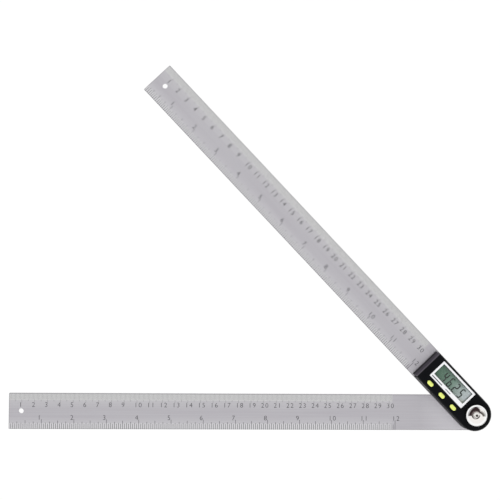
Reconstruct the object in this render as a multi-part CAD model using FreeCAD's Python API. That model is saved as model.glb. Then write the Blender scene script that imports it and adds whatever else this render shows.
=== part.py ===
"""Digital angle finder: two steel rules joined at a pivot that carries a reading head.

Millimetres.  The origin is on the pivot axis, level with the underside of the base blade.
Every piece is drawn in its blade's own frame, and then turned to its place:
  u  (X) from the pivot towards the blade's free end
  v  (Y) across the blade, towards the inch scale and the buttons
  z  (Z) up, from the underside of the base blade
"""
import FreeCAD, Part
import math
import os

Vector = FreeCAD.Vector
UP = Vector(0, 0, 1)

# ---------------------------------------------------------------- driving dimensions
# Blades
BLADE_LENGTH = 366.0          # pivot to free end
BLADE_THICKNESS = 1.5
BLADE_MARGIN = 0.38           # how far the blade shows beside the case
BLADE_CORNER = 0.4            # broken corners of the free end
HANG_HOLE_RADIUS = 2.0
HANG_HOLE_INSET = 9.5         # from the free end
ARM_ANGLE = 46.25             # between the blades, as the tool lies
SHIM_THICKNESS = 0.2
SHIM_EDGE = 1.0               # from the rim of the shim to the blade's edge

# Pivot
JOURNAL_RADIUS = 6.0
RUNNING_CLEARANCE = 0.05
HUB_HEAD_WALL = 2.5           # hexagon head outside the journal, at its flats
HUB_HEAD_THICKNESS = 0.8
BUSH_WALL = 2.0
END_PLAY = 0.1                # of the bush under the carrier
NECK_RADIUS = 4.0
NECK_FLAT = 0.7               # depth of the flat that keys carrier and rotor
CARRIER_WALL = 3.5
ROTOR_THICKNESS = 0.7
ROTOR_GAP = 0.4               # air gap to the board
ROTOR_EDGE_CLEARANCE = 1.0    # to the case wall
NUT_THICKNESS = 1.0
NUT_WALL = 1.0
STUD_RADIUS = 2.0

# Lock knob
KNOB_RADIUS = 8.3
KNOB_HEIGHT = 4.2
KNOB_RIM = 0.8                # flat top of the rim
KNOB_BEVEL = 0.5
KNOB_DISH_DEPTH = 1.8
KNOB_NECK_WALL = 1.0
KNOB_NECK_LENGTH = 2.4        # below the knob's underside
KNOB_COLLAR_WALL = 0.55
KNOB_COLLAR_HEIGHT = 1.4      # above the bottom of the dish
GRIP_GROOVES = 30
GRIP_GROOVE_WIDTH = 0.8
GRIP_GROOVE_DEPTH = 0.3
KNOB_LIFT = 0.7               # rise in one turn, the thread's pitch
SCREW_HEAD_OVERLAP = 0.5      # knob screw's head outside the stud
SCREW_HEAD_THICKNESS = 0.9
SCREW_HEAD_BEVEL = 0.4
SCREW_SHANK_RADIUS = 1.0
SCREW_SHANK_LENGTH = 3.0
SOCKET_ACROSS = 1.5           # hexagon socket in the screw
SOCKET_DEPTH = 0.6
KNOB_CLEARANCE = 0.25         # round the neck and round the screw's head
WAVE_WASHER_THICKNESS = 0.5
WAVE_WASHER_WIDTH = 3.0

# Battery drawer
CELL_RADIUS = 10.0
CELL_THICKNESS = 3.2
CELL_CLEARANCE = 0.1
TRAY_WALL = 0.7
TRAY_FLOOR = 0.4
TRAY_HEIGHT = 3.3
TRAY_TAIL = 1.8               # tray beyond the cell, towards the pivot
TRAY_FRONT_WALL = 1.2         # between the cell and the cap
TRAY_CLEARANCE = 0.2          # beside the tray and above the cell's slot
TRAY_LIFT = 0.1               # under the tray
TRAY_OPEN_WIDTH = 14.0        # mouth of the tray at the contact
CAP_DEPTH = 2.6               # drawer front, along u, at its foot
CAP_TOP_DEPTH = 0.6           # the same, at its top
CAP_FOOT = 1.6                # upright part of the drawer front
CAP_INSET = 0.7               # beside and above, from the outline of the case
RAIL_WIDTH = 0.9
RAIL_END_GAP = 5.0            # from the rails' outer end to the end of the case
GUIDE_WALL = 1.2
CONTACT_THICKNESS = 0.2
CONTACT_WIDTH = 4.0
CONTACT_ROOM = 0.4            # between the cell and the board
NOTCH_CLEARANCE = 1.0         # beside the contact in the guide's cross wall

# Electronics
BOARD_THICKNESS = 0.8
BOARD_EDGE_CLEARANCE = 0.15
GLASS_THICKNESS = 0.7
GLASS_STANDOFF = 0.5          # board to lower glass
GLASS_BORDER = 0.3            # lower glass beyond the window
GLASS_LEDGE = 1.65            # upper glass beyond the lower one
GLASS_END_BORDER = 1.85       # both glasses beyond the window along u
ZEBRA_WIDTH = 1.2
ZEBRA_END_INSET = 1.0
CHIP_SIDE = 9.0
CHIP_THICKNESS = 1.4
CHIP_CORNER = 0.5
DOME_SIDE = 4.0
DOME_CORNER = 1.0             # cut off each corner, so that the dome stands on four edges
DOME_SLOPE = 0.35             # inward, over most of the height
DOME_HEIGHT = 0.4

# Display window and bezel
WINDOW_LENGTH = 32.3
WINDOW_WIDTH = 11.1
WINDOW_FLANGE = 0.5           # hidden rim of the window under the bezel
WINDOW_CLEARANCE = 0.1
WINDOW_LIFT = 0.1             # above the glass
WINDOW_RECESS = 0.2           # below the bezel's face
BEZEL_END_BORDER = 2.05
BEZEL_OUTER_BORDER = 1.65
BEZEL_BUTTON_BORDER = 3.5
BEZEL_THICKNESS = 0.7
BEZEL_PROUD = 0.2
BEZEL_CORNER = 0.8
BEZEL_BEVEL = 0.2

# Case
COVER_TOP = 1.3
COVER_WALL = 1.3
COVER_DRAFT = 0.6             # each side wall leans in by this over the height
RAIL_DRAFT_SHARE = 0.7        # part of that lean that leaves room for the rails' upper edges
COVER_EDGE = 0.7              # bevelled top edge
KNOB_TO_BEZEL = 2.7
BEZEL_TO_END = 5.5
PAD_LENGTH = 4.0              # pads for screws and tongues inside the side walls
PAD_HEIGHT = 3.8
CASE_SCREW_RADIUS = 0.8
CASE_SCREW_HEAD = 1.5
CASE_SCREW_HEAD_DEPTH = 0.8
CASE_SCREW_LENGTH = 4.6
CASE_SCREW_WALL = 0.3         # between screw and the tray's side of its pad
TONGUE_LENGTH = 2.4           # moulded tongues in slots of the blade, near the pivot
TONGUE_WIDTH = 1.0
TONGUE_RECESS = 0.3           # tongue ends above the blade's underside
PAD_TO_ROTOR = 0.6
PAD_TO_END = 0.6
POST_SIDE = 2.8
POST_OFFSET = 1.2             # from the row of buttons towards the display
BOARD_SCREW_RADIUS = 0.6
BOARD_SCREW_HEAD = 1.1
BOARD_SCREW_HEAD_THICKNESS = 0.5
BOARD_SCREW_BITE = 1.4        # length in the post

# Buttons
BUTTON_LENGTH = 5.8
BUTTON_WIDTH = 3.4
BUTTON_PITCH = 12.95
BUTTON_END_SHARE = 0.8        # radius of the oval's ends, over its half width
BUTTON_PROUD = 0.7
BUTTON_EDGE = 0.4             # bevelled top edge
BUTTON_CLEARANCE = 0.2
BUTTON_FLANGE = 1.0           # hidden rim, outwards
BUTTON_FLANGE_THICKNESS = 0.6
BUTTON_STEM_SIDE = 2.0
BUTTON_TRAVEL = 0.4
BUTTON_SPARE = 0.05           # left under the stem at full travel
BUTTON_ROW_GAP = 0.2          # flange to the case wall

# ---------------------------------------------------------------- levels, from the floor up
BASE_TOP = BLADE_THICKNESS
ARM_BOTTOM = BASE_TOP + SHIM_THICKNESS
ARM_TOP = ARM_BOTTOM + BLADE_THICKNESS
TRAY_BOTTOM = ARM_TOP + TRAY_LIFT
CELL_BOTTOM = TRAY_BOTTOM + TRAY_FLOOR
CELL_TOP = CELL_BOTTOM + CELL_THICKNESS
TRAY_RIM = TRAY_BOTTOM + TRAY_HEIGHT
BOARD_BOTTOM = CELL_TOP + CONTACT_ROOM
BOARD_TOP = BOARD_BOTTOM + BOARD_THICKNESS
LOWER_GLASS_BOTTOM = BOARD_TOP + GLASS_STANDOFF
UPPER_GLASS_BOTTOM = LOWER_GLASS_BOTTOM + GLASS_THICKNESS
CEILING = UPPER_GLASS_BOTTOM + GLASS_THICKNESS
CASE_TOP = CEILING + COVER_TOP
BEZEL_TOP = CASE_TOP + BEZEL_PROUD
BEZEL_BOTTOM = BEZEL_TOP - BEZEL_THICKNESS

CARRIER_BOTTOM = ARM_TOP + END_PLAY
ROTOR_TOP = BOARD_BOTTOM - ROTOR_GAP
ROTOR_BOTTOM = ROTOR_TOP - ROTOR_THICKNESS
NUT_TOP = ROTOR_TOP + NUT_THICKNESS

KNOB_BOTTOM = CASE_TOP + WAVE_WASHER_THICKNESS
KNOB_TOP = KNOB_BOTTOM + KNOB_HEIGHT
DISH_BOTTOM = KNOB_TOP - KNOB_DISH_DEPTH
COLLAR_TOP = DISH_BOTTOM + KNOB_COLLAR_HEIGHT
STUD_TOP = COLLAR_TOP + SCREW_HEAD_BEVEL - SCREW_HEAD_THICKNESS
SCREW_SEAT = STUD_TOP - KNOB_LIFT - END_PLAY

# ---------------------------------------------------------------- widths and places
TRAY_HALF = CELL_RADIUS + CELL_CLEARANCE + TRAY_WALL
BAY_HALF = TRAY_HALF + TRAY_CLEARANCE
CASE_HALF = BAY_HALF + RAIL_WIDTH + COVER_WALL + COVER_DRAFT * RAIL_DRAFT_SHARE
BLADE_HALF = CASE_HALF + BLADE_MARGIN
BEZEL_LENGTH = WINDOW_LENGTH + 2 * BEZEL_END_BORDER
CASE_LENGTH = KNOB_RADIUS + KNOB_TO_BEZEL + BEZEL_LENGTH + BEZEL_TO_END
DISPLAY_U = CASE_LENGTH - BEZEL_TO_END - BEZEL_LENGTH / 2


def case_half_at(z):
    """Half width of the case's outside at height z, where the side walls lean in."""
    return CASE_HALF - COVER_DRAFT * (z - ARM_TOP) / (CASE_TOP - ARM_TOP)


def room_half_at(z):
    """Half width inside the case at height z."""
    return case_half_at(z) - COVER_WALL


LOWER_GLASS_HALF = WINDOW_WIDTH / 2 + GLASS_BORDER
UPPER_GLASS_HALF = LOWER_GLASS_HALF + GLASS_LEDGE
DISPLAY_V = -(room_half_at(CEILING) - BOARD_EDGE_CLEARANCE - UPPER_GLASS_HALF)
GLASS_HALF_LENGTH = WINDOW_LENGTH / 2 + GLASS_END_BORDER

ROTOR_RADIUS = room_half_at(ROTOR_TOP) - ROTOR_EDGE_CLEARANCE
NUT_ACROSS = 2 * (NECK_RADIUS + NUT_WALL)
BOARD_HOLE_RADIUS = NUT_ACROSS / 2 / math.cos(math.radians(30)) + ROTOR_GAP
BORE_RADIUS = STUD_RADIUS + RUNNING_CLEARANCE
KNOB_NECK_RADIUS = BORE_RADIUS + KNOB_NECK_WALL
SCREW_HEAD_RADIUS = STUD_RADIUS + SCREW_HEAD_OVERLAP
COLLAR_INNER = SCREW_HEAD_RADIUS + KNOB_CLEARANCE
COLLAR_OUTER = COLLAR_INNER + KNOB_COLLAR_WALL
PIVOT_HOLE_RADIUS = KNOB_NECK_RADIUS + KNOB_CLEARANCE

CELL_U = CASE_LENGTH - TRAY_FRONT_WALL - CELL_CLEARANCE - CELL_RADIUS
TRAY_INNER_U = CELL_U - CELL_RADIUS - TRAY_TAIL
GUIDE_U = TRAY_INNER_U - TRAY_CLEARANCE - GUIDE_WALL
RAIL_END_U = CASE_LENGTH - RAIL_END_GAP

PAD_V = BAY_HALF + CASE_SCREW_WALL + CASE_SCREW_RADIUS
TONGUE_PAD_U = ROTOR_RADIUS + PAD_TO_ROTOR + PAD_LENGTH / 2
SCREW_PAD_U = CASE_LENGTH - PAD_TO_END - PAD_LENGTH / 2
TONGUE_PLACES = [(TONGUE_PAD_U, -PAD_V), (TONGUE_PAD_U, PAD_V)]
CASE_SCREW_PLACES = [(SCREW_PAD_U, -PAD_V), (SCREW_PAD_U, PAD_V)]

BUTTON_FLANGE_HALF = BUTTON_WIDTH / 2 + BUTTON_FLANGE
BUTTON_V = room_half_at(CEILING) - BUTTON_ROW_GAP - BUTTON_FLANGE_HALF
BUTTON_US = [DISPLAY_U + i * BUTTON_PITCH for i in (1, 0, -1)]
POST_V = BUTTON_V - POST_OFFSET
POST_US = (
    BUTTON_US[2] + BUTTON_PITCH / 2,
    BUTTON_US[2] - (BUTTON_LENGTH + POST_SIDE) / 2 - BUTTON_FLANGE - BUTTON_CLEARANCE,
)
POST_PLACES = [(u, POST_V) for u in POST_US]


# ---------------------------------------------------------------- shapes
def block(u0, u1, v0, v1, z0, z1):
    """Box between two corners."""
    return Part.makeBox(u1 - u0, v1 - v0, z1 - z0, Vector(u0, v0, z0))


def round_bar(radius, z0, z1, u=0.0, v=0.0):
    """Upright cylinder."""
    return Part.makeCylinder(radius, z1 - z0, Vector(u, v, z0), UP)


def ring(outer, inner, z0, z1):
    """Washer on the pivot axis."""
    return round_bar(outer, z0, z1).cut(round_bar(inner, z0, z1))


def button_oval(grow, z0, z1, u):
    """Upright prism of a button's four-centre oval, grown all round by the given amount."""
    half_length = BUTTON_LENGTH / 2
    half_width = BUTTON_WIDTH / 2
    end_radius = BUTTON_END_SHARE * half_width
    side_radius = (half_length ** 2 + half_width ** 2 - 2 * half_length * end_radius) / (
        2 * (half_width - end_radius))
    reach = (side_radius + grow) / (side_radius - end_radius)
    join_u = reach * (half_length - end_radius)
    join_v = (reach - 1) * (side_radius - half_width)
    far_u = half_length + grow
    far_v = half_width + grow
    turns = [(join_u, -join_v), (far_u, 0), (join_u, join_v), (0, far_v),
             (-join_u, join_v), (-far_u, 0), (-join_u, -join_v), (0, -far_v), (join_u, -join_v)]
    points = [Vector(u + du, BUTTON_V + dv, z0) for du, dv in turns]
    arcs = [Part.Arc(*points[i:i + 3]).toShape() for i in range(0, len(turns) - 1, 2)]
    return Part.Face(Part.Wire(arcs)).extrude(Vector(0, 0, z1 - z0))


def hexagon(across, z0, z1):
    """Upright hexagonal prism on the pivot axis."""
    radius = across / 2 / math.cos(math.radians(30))
    corners = [Vector(radius, 0, z0)]
    for i in range(1, 7):
        turn = math.radians(60 * i)
        corners.append(Vector(radius * math.cos(turn), radius * math.sin(turn), z0))
    return Part.Face(Part.makePolygon(corners)).extrude(Vector(0, 0, z1 - z0))


def keyed_bar(radius, flat, z0, z1):
    """Upright cylinder on the pivot axis with one flat, cut to the given depth."""
    bar = round_bar(radius, z0, z1)
    return bar.cut(block(radius - flat, radius, -radius, radius, z0, z1))


def soften(solid, radius, is_chosen):
    """Round the edges for which is_chosen(edge) holds."""
    return solid.makeFillet(radius, [edge for edge in solid.Edges if is_chosen(edge)])


def bevel(solid, size, is_chosen):
    """Chamfer the edges for which is_chosen(edge) holds."""
    return solid.makeChamfer(size, [edge for edge in solid.Edges if is_chosen(edge)])


def is_upright(edge):
    box = edge.BoundBox
    return box.ZLength > 1e-3 and box.XLength < 1e-3 and box.YLength < 1e-3


def lies_at(z):
    """Chooser of the edges that lie flat at height z."""
    return lambda edge: abs(edge.BoundBox.ZMin - z) < 1e-4 and abs(edge.BoundBox.ZMax - z) < 1e-4


def cut_all(solid, tools):
    return solid.cut(Part.makeCompound(tools))


def fuse_all(solids):
    """One solid from pieces that meet."""
    return solids[0].multiFuse(solids[1:]).removeSplitter()


# ---------------------------------------------------------------- blades
def blade(z0):
    """Flat rule: round at the pivot, square at the free end, with its hang hole."""
    z1 = z0 + BLADE_THICKNESS
    body = block(0, BLADE_LENGTH, -BLADE_HALF, BLADE_HALF, z0, z1)
    body = soften(body, BLADE_CORNER, lambda e: is_upright(e) and e.BoundBox.XMin > BLADE_LENGTH / 2)
    body = fuse_all([body, round_bar(BLADE_HALF, z0, z1)])
    return body.cut(round_bar(HANG_HOLE_RADIUS, z0, z1, BLADE_LENGTH - HANG_HOLE_INSET))


def hub_head():
    """Hexagon head of the hub and its seat in the underside of the base blade."""
    return hexagon(2 * (JOURNAL_RADIUS + HUB_HEAD_WALL), 0, HUB_HEAD_THICKNESS)


def base_blade():
    return cut_all(blade(0.0), [hub_head(), round_bar(JOURNAL_RADIUS, 0, BASE_TOP)])


def case_screw(u, v):
    """Countersunk screw from the arm blade's underside up into the cover's pad."""
    head_top = ARM_BOTTOM + CASE_SCREW_HEAD_DEPTH
    head = Part.makeCone(CASE_SCREW_HEAD, CASE_SCREW_RADIUS, CASE_SCREW_HEAD_DEPTH,
                         Vector(u, v, ARM_BOTTOM), UP)
    shank = round_bar(CASE_SCREW_RADIUS, head_top, ARM_BOTTOM + CASE_SCREW_LENGTH, u, v)
    return head.fuse(shank)


def tongue(u, v, z0):
    """Moulded tongue of the cover, down to height z0 in the arm blade."""
    return block(u - TONGUE_LENGTH / 2, u + TONGUE_LENGTH / 2, v - TONGUE_WIDTH / 2,
                 v + TONGUE_WIDTH / 2, z0, ARM_TOP)


def arm_blade():
    holes = [case_screw(u, v) for u, v in CASE_SCREW_PLACES]
    holes += [tongue(u, v, ARM_BOTTOM) for u, v in TONGUE_PLACES]
    holes.append(round_bar(JOURNAL_RADIUS + RUNNING_CLEARANCE + BUSH_WALL, ARM_BOTTOM, ARM_TOP))
    return cut_all(blade(ARM_BOTTOM), holes)


# ---------------------------------------------------------------- pivot
def pivot_hub():
    """Hexagon head, journal for the arm's bush, keyed neck for the rotor, stud for the knob."""
    hub = fuse_all([
        hub_head(),
        round_bar(JOURNAL_RADIUS, 0, CARRIER_BOTTOM),
        keyed_bar(NECK_RADIUS, NECK_FLAT, CARRIER_BOTTOM, NUT_TOP),
        round_bar(STUD_RADIUS, NUT_TOP, STUD_TOP),
    ])
    return hub.cut(round_bar(SCREW_SHANK_RADIUS, STUD_TOP - SCREW_SHANK_LENGTH, STUD_TOP))


def blade_washer():
    return ring(BLADE_HALF - SHIM_EDGE, JOURNAL_RADIUS + RUNNING_CLEARANCE, BASE_TOP, ARM_BOTTOM)


def arm_bush():
    """Plain bush, pressed flush into the arm blade."""
    inner = JOURNAL_RADIUS + RUNNING_CLEARANCE
    return ring(inner + BUSH_WALL, inner, ARM_BOTTOM, ARM_TOP)


def rotor_carrier():
    """Spacer that traps the arm's bush and lifts the rotor to the board."""
    spacer = round_bar(NECK_RADIUS + CARRIER_WALL, CARRIER_BOTTOM, ROTOR_BOTTOM)
    return spacer.cut(keyed_bar(NECK_RADIUS, NECK_FLAT, CARRIER_BOTTOM, ROTOR_BOTTOM))


def rotor_disc():
    disc = round_bar(ROTOR_RADIUS, ROTOR_BOTTOM, ROTOR_TOP)
    return disc.cut(keyed_bar(NECK_RADIUS, NECK_FLAT, ROTOR_BOTTOM, ROTOR_TOP))


def rotor_nut():
    nut = hexagon(NUT_ACROSS, ROTOR_TOP, NUT_TOP)
    return nut.cut(round_bar(NECK_RADIUS, ROTOR_TOP, NUT_TOP))


# ---------------------------------------------------------------- knob
def grip_groove(turn):
    """V-shaped bar that cuts one groove of the knob's grip, at the given angle."""
    apex = KNOB_RADIUS - GRIP_GROOVE_DEPTH
    beyond = KNOB_RADIUS + GRIP_GROOVE_DEPTH
    corners = [(apex, 0), (beyond, -GRIP_GROOVE_WIDTH), (beyond, GRIP_GROOVE_WIDTH), (apex, 0)]
    section = Part.makePolygon([Vector(u, v, KNOB_BOTTOM) for u, v in corners])
    groove = Part.Face(section).extrude(Vector(0, 0, KNOB_HEIGHT))
    groove.rotate(Vector(0, 0, 0), UP, turn)
    return groove


def lock_knob():
    """Turned clamp knob: grooved rim, conical dish, collar round the screw, threaded neck."""
    rim_inner = KNOB_RADIUS - KNOB_BEVEL - KNOB_RIM
    neck_bottom = KNOB_BOTTOM - KNOB_NECK_LENGTH
    outline = [
        (BORE_RADIUS, neck_bottom),
        (KNOB_NECK_RADIUS, neck_bottom),
        (KNOB_NECK_RADIUS, KNOB_BOTTOM),
        (KNOB_RADIUS, KNOB_BOTTOM),
        (KNOB_RADIUS, KNOB_TOP - KNOB_BEVEL),
        (KNOB_RADIUS - KNOB_BEVEL, KNOB_TOP),
        (rim_inner, KNOB_TOP),
        (COLLAR_OUTER, DISH_BOTTOM),
        (COLLAR_OUTER, COLLAR_TOP),
        (COLLAR_INNER, COLLAR_TOP),
        (COLLAR_INNER, SCREW_SEAT),
        (BORE_RADIUS, SCREW_SEAT),
        (BORE_RADIUS, neck_bottom),
    ]
    profile = Part.Face(Part.makePolygon([Vector(r, 0, z) for r, z in outline]))
    knob = profile.revolve(Vector(0, 0, 0), UP, 360)
    return cut_all(knob, [grip_groove(360 * i / GRIP_GROOVES) for i in range(GRIP_GROOVES)])


def knob_screw():
    """Retaining screw in the end of the stud: low bevelled head with a hexagon socket."""
    head_top = STUD_TOP + SCREW_HEAD_THICKNESS
    head = bevel(round_bar(SCREW_HEAD_RADIUS, STUD_TOP, head_top), SCREW_HEAD_BEVEL, lies_at(head_top))
    screw = fuse_all([head, round_bar(SCREW_SHANK_RADIUS, STUD_TOP - SCREW_SHANK_LENGTH, STUD_TOP)])
    return screw.cut(hexagon(SOCKET_ACROSS, head_top - SOCKET_DEPTH, head_top))


def wave_washer():
    inner = PIVOT_HOLE_RADIUS
    return ring(inner + WAVE_WASHER_WIDTH, inner, CASE_TOP, KNOB_BOTTOM)


# ---------------------------------------------------------------- case
def drafted(half_low, half_high, end_low, end_high, z0, z1):
    """Block with leaning side walls and a round, coned end about the pivot axis."""
    section = Part.makePolygon([
        Vector(0, -half_low, z0), Vector(0, half_low, z0),
        Vector(0, half_high, z1), Vector(0, -half_high, z1), Vector(0, -half_low, z0),
    ])
    reach = max(end_low, end_high)
    prism = Part.Face(section).extrude(Vector(reach, 0, 0))
    nose = Part.makeCone(half_low, half_high, z1 - z0, Vector(0, 0, z0), UP)
    body = fuse_all([prism, nose])
    if abs(end_low - end_high) < 1e-6:
        return body
    beyond = Part.makePolygon([
        Vector(end_low, 0, z0), Vector(end_high, 0, z1), Vector(2 * reach, 0, z1),
        Vector(2 * reach, 0, z0), Vector(end_low, 0, z0),
    ])
    wedge = Part.Face(beyond).extrude(Vector(0, 4 * half_low, 0))
    wedge.translate(Vector(0, -2 * half_low, 0))
    return body.cut(wedge)


def display_plate(half_length, v_low, v_high, z0, z1, corner=0.0):
    """Flat plate centred on the display along u, between two v limits of its own."""
    plate = block(DISPLAY_U - half_length, DISPLAY_U + half_length, DISPLAY_V + v_low,
                  DISPLAY_V + v_high, z0, z1)
    return soften(plate, corner, is_upright) if corner else plate


def bezel_plate(z0, z1):
    return display_plate(BEZEL_LENGTH / 2, -WINDOW_WIDTH / 2 - BEZEL_OUTER_BORDER,
                         WINDOW_WIDTH / 2 + BEZEL_BUTTON_BORDER, z0, z1, BEZEL_CORNER)


def window_plate(grow, z0, z1):
    half = WINDOW_WIDTH / 2 + grow
    return display_plate(WINDOW_LENGTH / 2 + grow, -half, half, z0, z1)


def case_cover():
    """Moulded shell: roof, leaning walls, drawer mouth, pads, tongues, board posts and openings."""
    outer = drafted(CASE_HALF, case_half_at(CASE_TOP), CASE_LENGTH, CASE_LENGTH, ARM_TOP, CASE_TOP)
    outer = bevel(outer, COVER_EDGE, lies_at(CASE_TOP))
    room_end = CASE_LENGTH - COVER_WALL
    room = drafted(room_half_at(ARM_TOP), room_half_at(CEILING), room_end, room_end, ARM_TOP, CEILING)
    shell = outer.cut(room)

    pads = []
    for u, v in TONGUE_PLACES + CASE_SCREW_PLACES:
        side = math.copysign(1, v)
        inner, outer_v = sorted((side * BAY_HALF, side * (CASE_HALF - COVER_WALL / 2)))
        pads.append(block(u - PAD_LENGTH / 2, u + PAD_LENGTH / 2, inner, outer_v,
                          ARM_TOP, ARM_TOP + PAD_HEIGHT))
    pads = [pad.common(outer) for pad in pads]
    tongues = [tongue(u, v, ARM_BOTTOM + TONGUE_RECESS) for u, v in TONGUE_PLACES]
    half = POST_SIDE / 2
    posts = [block(u - half, u + half, v - half, v + half, BOARD_TOP, CASE_TOP - COVER_TOP / 2)
             for u, v in POST_PLACES]
    shell = fuse_all([shell] + pads + tongues + posts)

    drawer_mouth = block(room_end - COVER_WALL, CASE_LENGTH, -BAY_HALF, BAY_HALF,
                         ARM_TOP, CELL_TOP + TRAY_CLEARANCE)
    screw_holes = [round_bar(CASE_SCREW_RADIUS, ARM_TOP, ARM_BOTTOM + CASE_SCREW_LENGTH, u, v)
                   for u, v in CASE_SCREW_PLACES]
    post_holes = [round_bar(BOARD_SCREW_RADIUS, BOARD_TOP, BOARD_TOP + BOARD_SCREW_BITE, u, v)
                  for u, v in POST_PLACES]
    return cut_all(shell, [
        drawer_mouth,
        bezel_plate(BEZEL_BOTTOM, BEZEL_TOP),
        window_plate(WINDOW_FLANGE + WINDOW_CLEARANCE, CEILING, BEZEL_BOTTOM),
        round_bar(PIVOT_HOLE_RADIUS, CEILING, CASE_TOP),
    ] + [button_oval(BUTTON_CLEARANCE, CEILING, CASE_TOP, u) for u in BUTTON_US]
      + screw_holes + post_holes)


def case_screws():
    return Part.makeCompound([case_screw(u, v) for u, v in CASE_SCREW_PLACES])


def battery_guide():
    """Frame on the blade: a rail each side of the tray and a notched wall behind it."""
    rails = []
    for side in (-1, 1):
        v0, v1 = sorted((side * BAY_HALF, side * (BAY_HALF + RAIL_WIDTH)))
        rails.append(block(GUIDE_U, RAIL_END_U, v0, v1, ARM_TOP, BOARD_BOTTOM))
    wall = block(GUIDE_U, GUIDE_U + GUIDE_WALL, -BAY_HALF, BAY_HALF, ARM_TOP, BOARD_BOTTOM)
    notch = CONTACT_WIDTH / 2 + NOTCH_CLEARANCE
    notch_cut = block(GUIDE_U, GUIDE_U + GUIDE_WALL, -notch, notch, CELL_BOTTOM, BOARD_BOTTOM)
    guide = fuse_all([wall.cut(notch_cut)] + rails)
    pads = [block(u - PAD_LENGTH / 2 - TRAY_CLEARANCE, u + PAD_LENGTH / 2 + TRAY_CLEARANCE,
                  -BLADE_HALF, BLADE_HALF, ARM_TOP, BOARD_BOTTOM).cut(
                      block(0, CASE_LENGTH, -BAY_HALF, BAY_HALF, ARM_TOP, BOARD_BOTTOM))
            for u in (TONGUE_PAD_U, SCREW_PAD_U)]
    return cut_all(guide, pads)


# ---------------------------------------------------------------- battery drawer
def battery_tray():
    """Drawer: thin floor, walls round the cell, open towards the contact, sloped front."""
    tray = block(TRAY_INNER_U, CASE_LENGTH, -TRAY_HALF, TRAY_HALF, TRAY_BOTTOM, TRAY_RIM)
    pocket = round_bar(CELL_RADIUS + CELL_CLEARANCE, CELL_BOTTOM, TRAY_RIM, CELL_U)
    mouth = block(TRAY_INNER_U, CELL_U, -TRAY_OPEN_WIDTH / 2, TRAY_OPEN_WIDTH / 2,
                  CELL_BOTTOM, TRAY_RIM)
    tray = cut_all(tray, [pocket, mouth])

    top = CASE_TOP - CAP_INSET
    profile = Part.makePolygon([
        Vector(CASE_LENGTH, 0, TRAY_BOTTOM), Vector(CASE_LENGTH + CAP_DEPTH, 0, TRAY_BOTTOM),
        Vector(CASE_LENGTH + CAP_DEPTH, 0, TRAY_BOTTOM + CAP_FOOT),
        Vector(CASE_LENGTH + CAP_TOP_DEPTH, 0, top), Vector(CASE_LENGTH, 0, top),
        Vector(CASE_LENGTH, 0, TRAY_BOTTOM),
    ])
    front = Part.Face(profile).extrude(Vector(0, 2 * CASE_HALF, 0))
    front.translate(Vector(0, -CASE_HALF, 0))
    reach = CASE_LENGTH + 2 * CAP_DEPTH
    outline = drafted(CASE_HALF - CAP_INSET, case_half_at(CASE_TOP) - CAP_INSET, reach, reach,
                      ARM_TOP, CASE_TOP)
    front = front.common(outline)
    front = bevel(front, COVER_EDGE / 2, lambda e: e.BoundBox.XMin > CASE_LENGTH + CAP_TOP_DEPTH / 2)
    return fuse_all([tray, front])


def coin_cell():
    return round_bar(CELL_RADIUS, CELL_BOTTOM, CELL_TOP, CELL_U)


def strip(points, width):
    """Bent metal strip whose section in the u-z plane is the given closed outline."""
    outline = [Vector(u, -width / 2, z) for u, z in points + points[:1]]
    return Part.Face(Part.makePolygon(outline)).extrude(Vector(0, width, 0))


def positive_contact():
    """Leaf that hangs from the board through the guide's notch to the cell's rim."""
    t = CONTACT_THICKNESS
    root = GUIDE_U + GUIDE_WALL / 2
    tip = CELL_U - CELL_RADIUS - CELL_CLEARANCE
    touch = CELL_BOTTOM + CELL_THICKNESS / 2
    foot = CELL_BOTTOM + t
    return strip([
        (root, BOARD_BOTTOM), (root, BOARD_BOTTOM - t), (root + t, BOARD_BOTTOM - t),
        (tip - t, touch), (root + 2 * t, foot), (root + 3 * t, foot), (tip, touch),
        (root + 3 * t, BOARD_BOTTOM - t), (root + 3 * t, BOARD_BOTTOM),
    ], CONTACT_WIDTH)


def negative_contact():
    """Leaf on the board's underside that bears on the top of the cell."""
    t = CONTACT_THICKNESS
    root = TRAY_INNER_U + CELL_RADIUS / 4
    elbow = root + CONTACT_WIDTH
    tip = CELL_U
    return strip([
        (root, BOARD_BOTTOM), (root, BOARD_BOTTOM - t), (elbow, BOARD_BOTTOM - t),
        (tip, CELL_TOP), (tip + CONTACT_WIDTH / 2, CELL_TOP),
        (tip + CONTACT_WIDTH / 2, CELL_TOP + t), (tip, CELL_TOP + t), (elbow, BOARD_BOTTOM),
    ], CONTACT_WIDTH)


# ---------------------------------------------------------------- electronics and display
def main_board():
    """Circuit board: round at the pivot, with holes for the hub and its two screws."""
    half = room_half_at(BOARD_TOP) - BOARD_EDGE_CLEARANCE
    end = CASE_LENGTH - COVER_WALL - BOARD_EDGE_CLEARANCE
    board = fuse_all([
        block(0, end, -half, half, BOARD_BOTTOM, BOARD_TOP),
        round_bar(half, BOARD_BOTTOM, BOARD_TOP),
    ])
    holes = [round_bar(BOARD_SCREW_RADIUS, BOARD_BOTTOM, BOARD_TOP, u, v) for u, v in POST_PLACES]
    return cut_all(board, holes + [round_bar(BOARD_HOLE_RADIUS, BOARD_BOTTOM, BOARD_TOP)])


def controller_chip():
    centre = (ROTOR_RADIUS + GUIDE_U) / 2
    half = CHIP_SIDE / 2
    chip = block(centre - half, centre + half, -half, half, BOARD_BOTTOM - CHIP_THICKNESS, BOARD_BOTTOM)
    return bevel(chip, CHIP_CORNER, is_upright)


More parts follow.
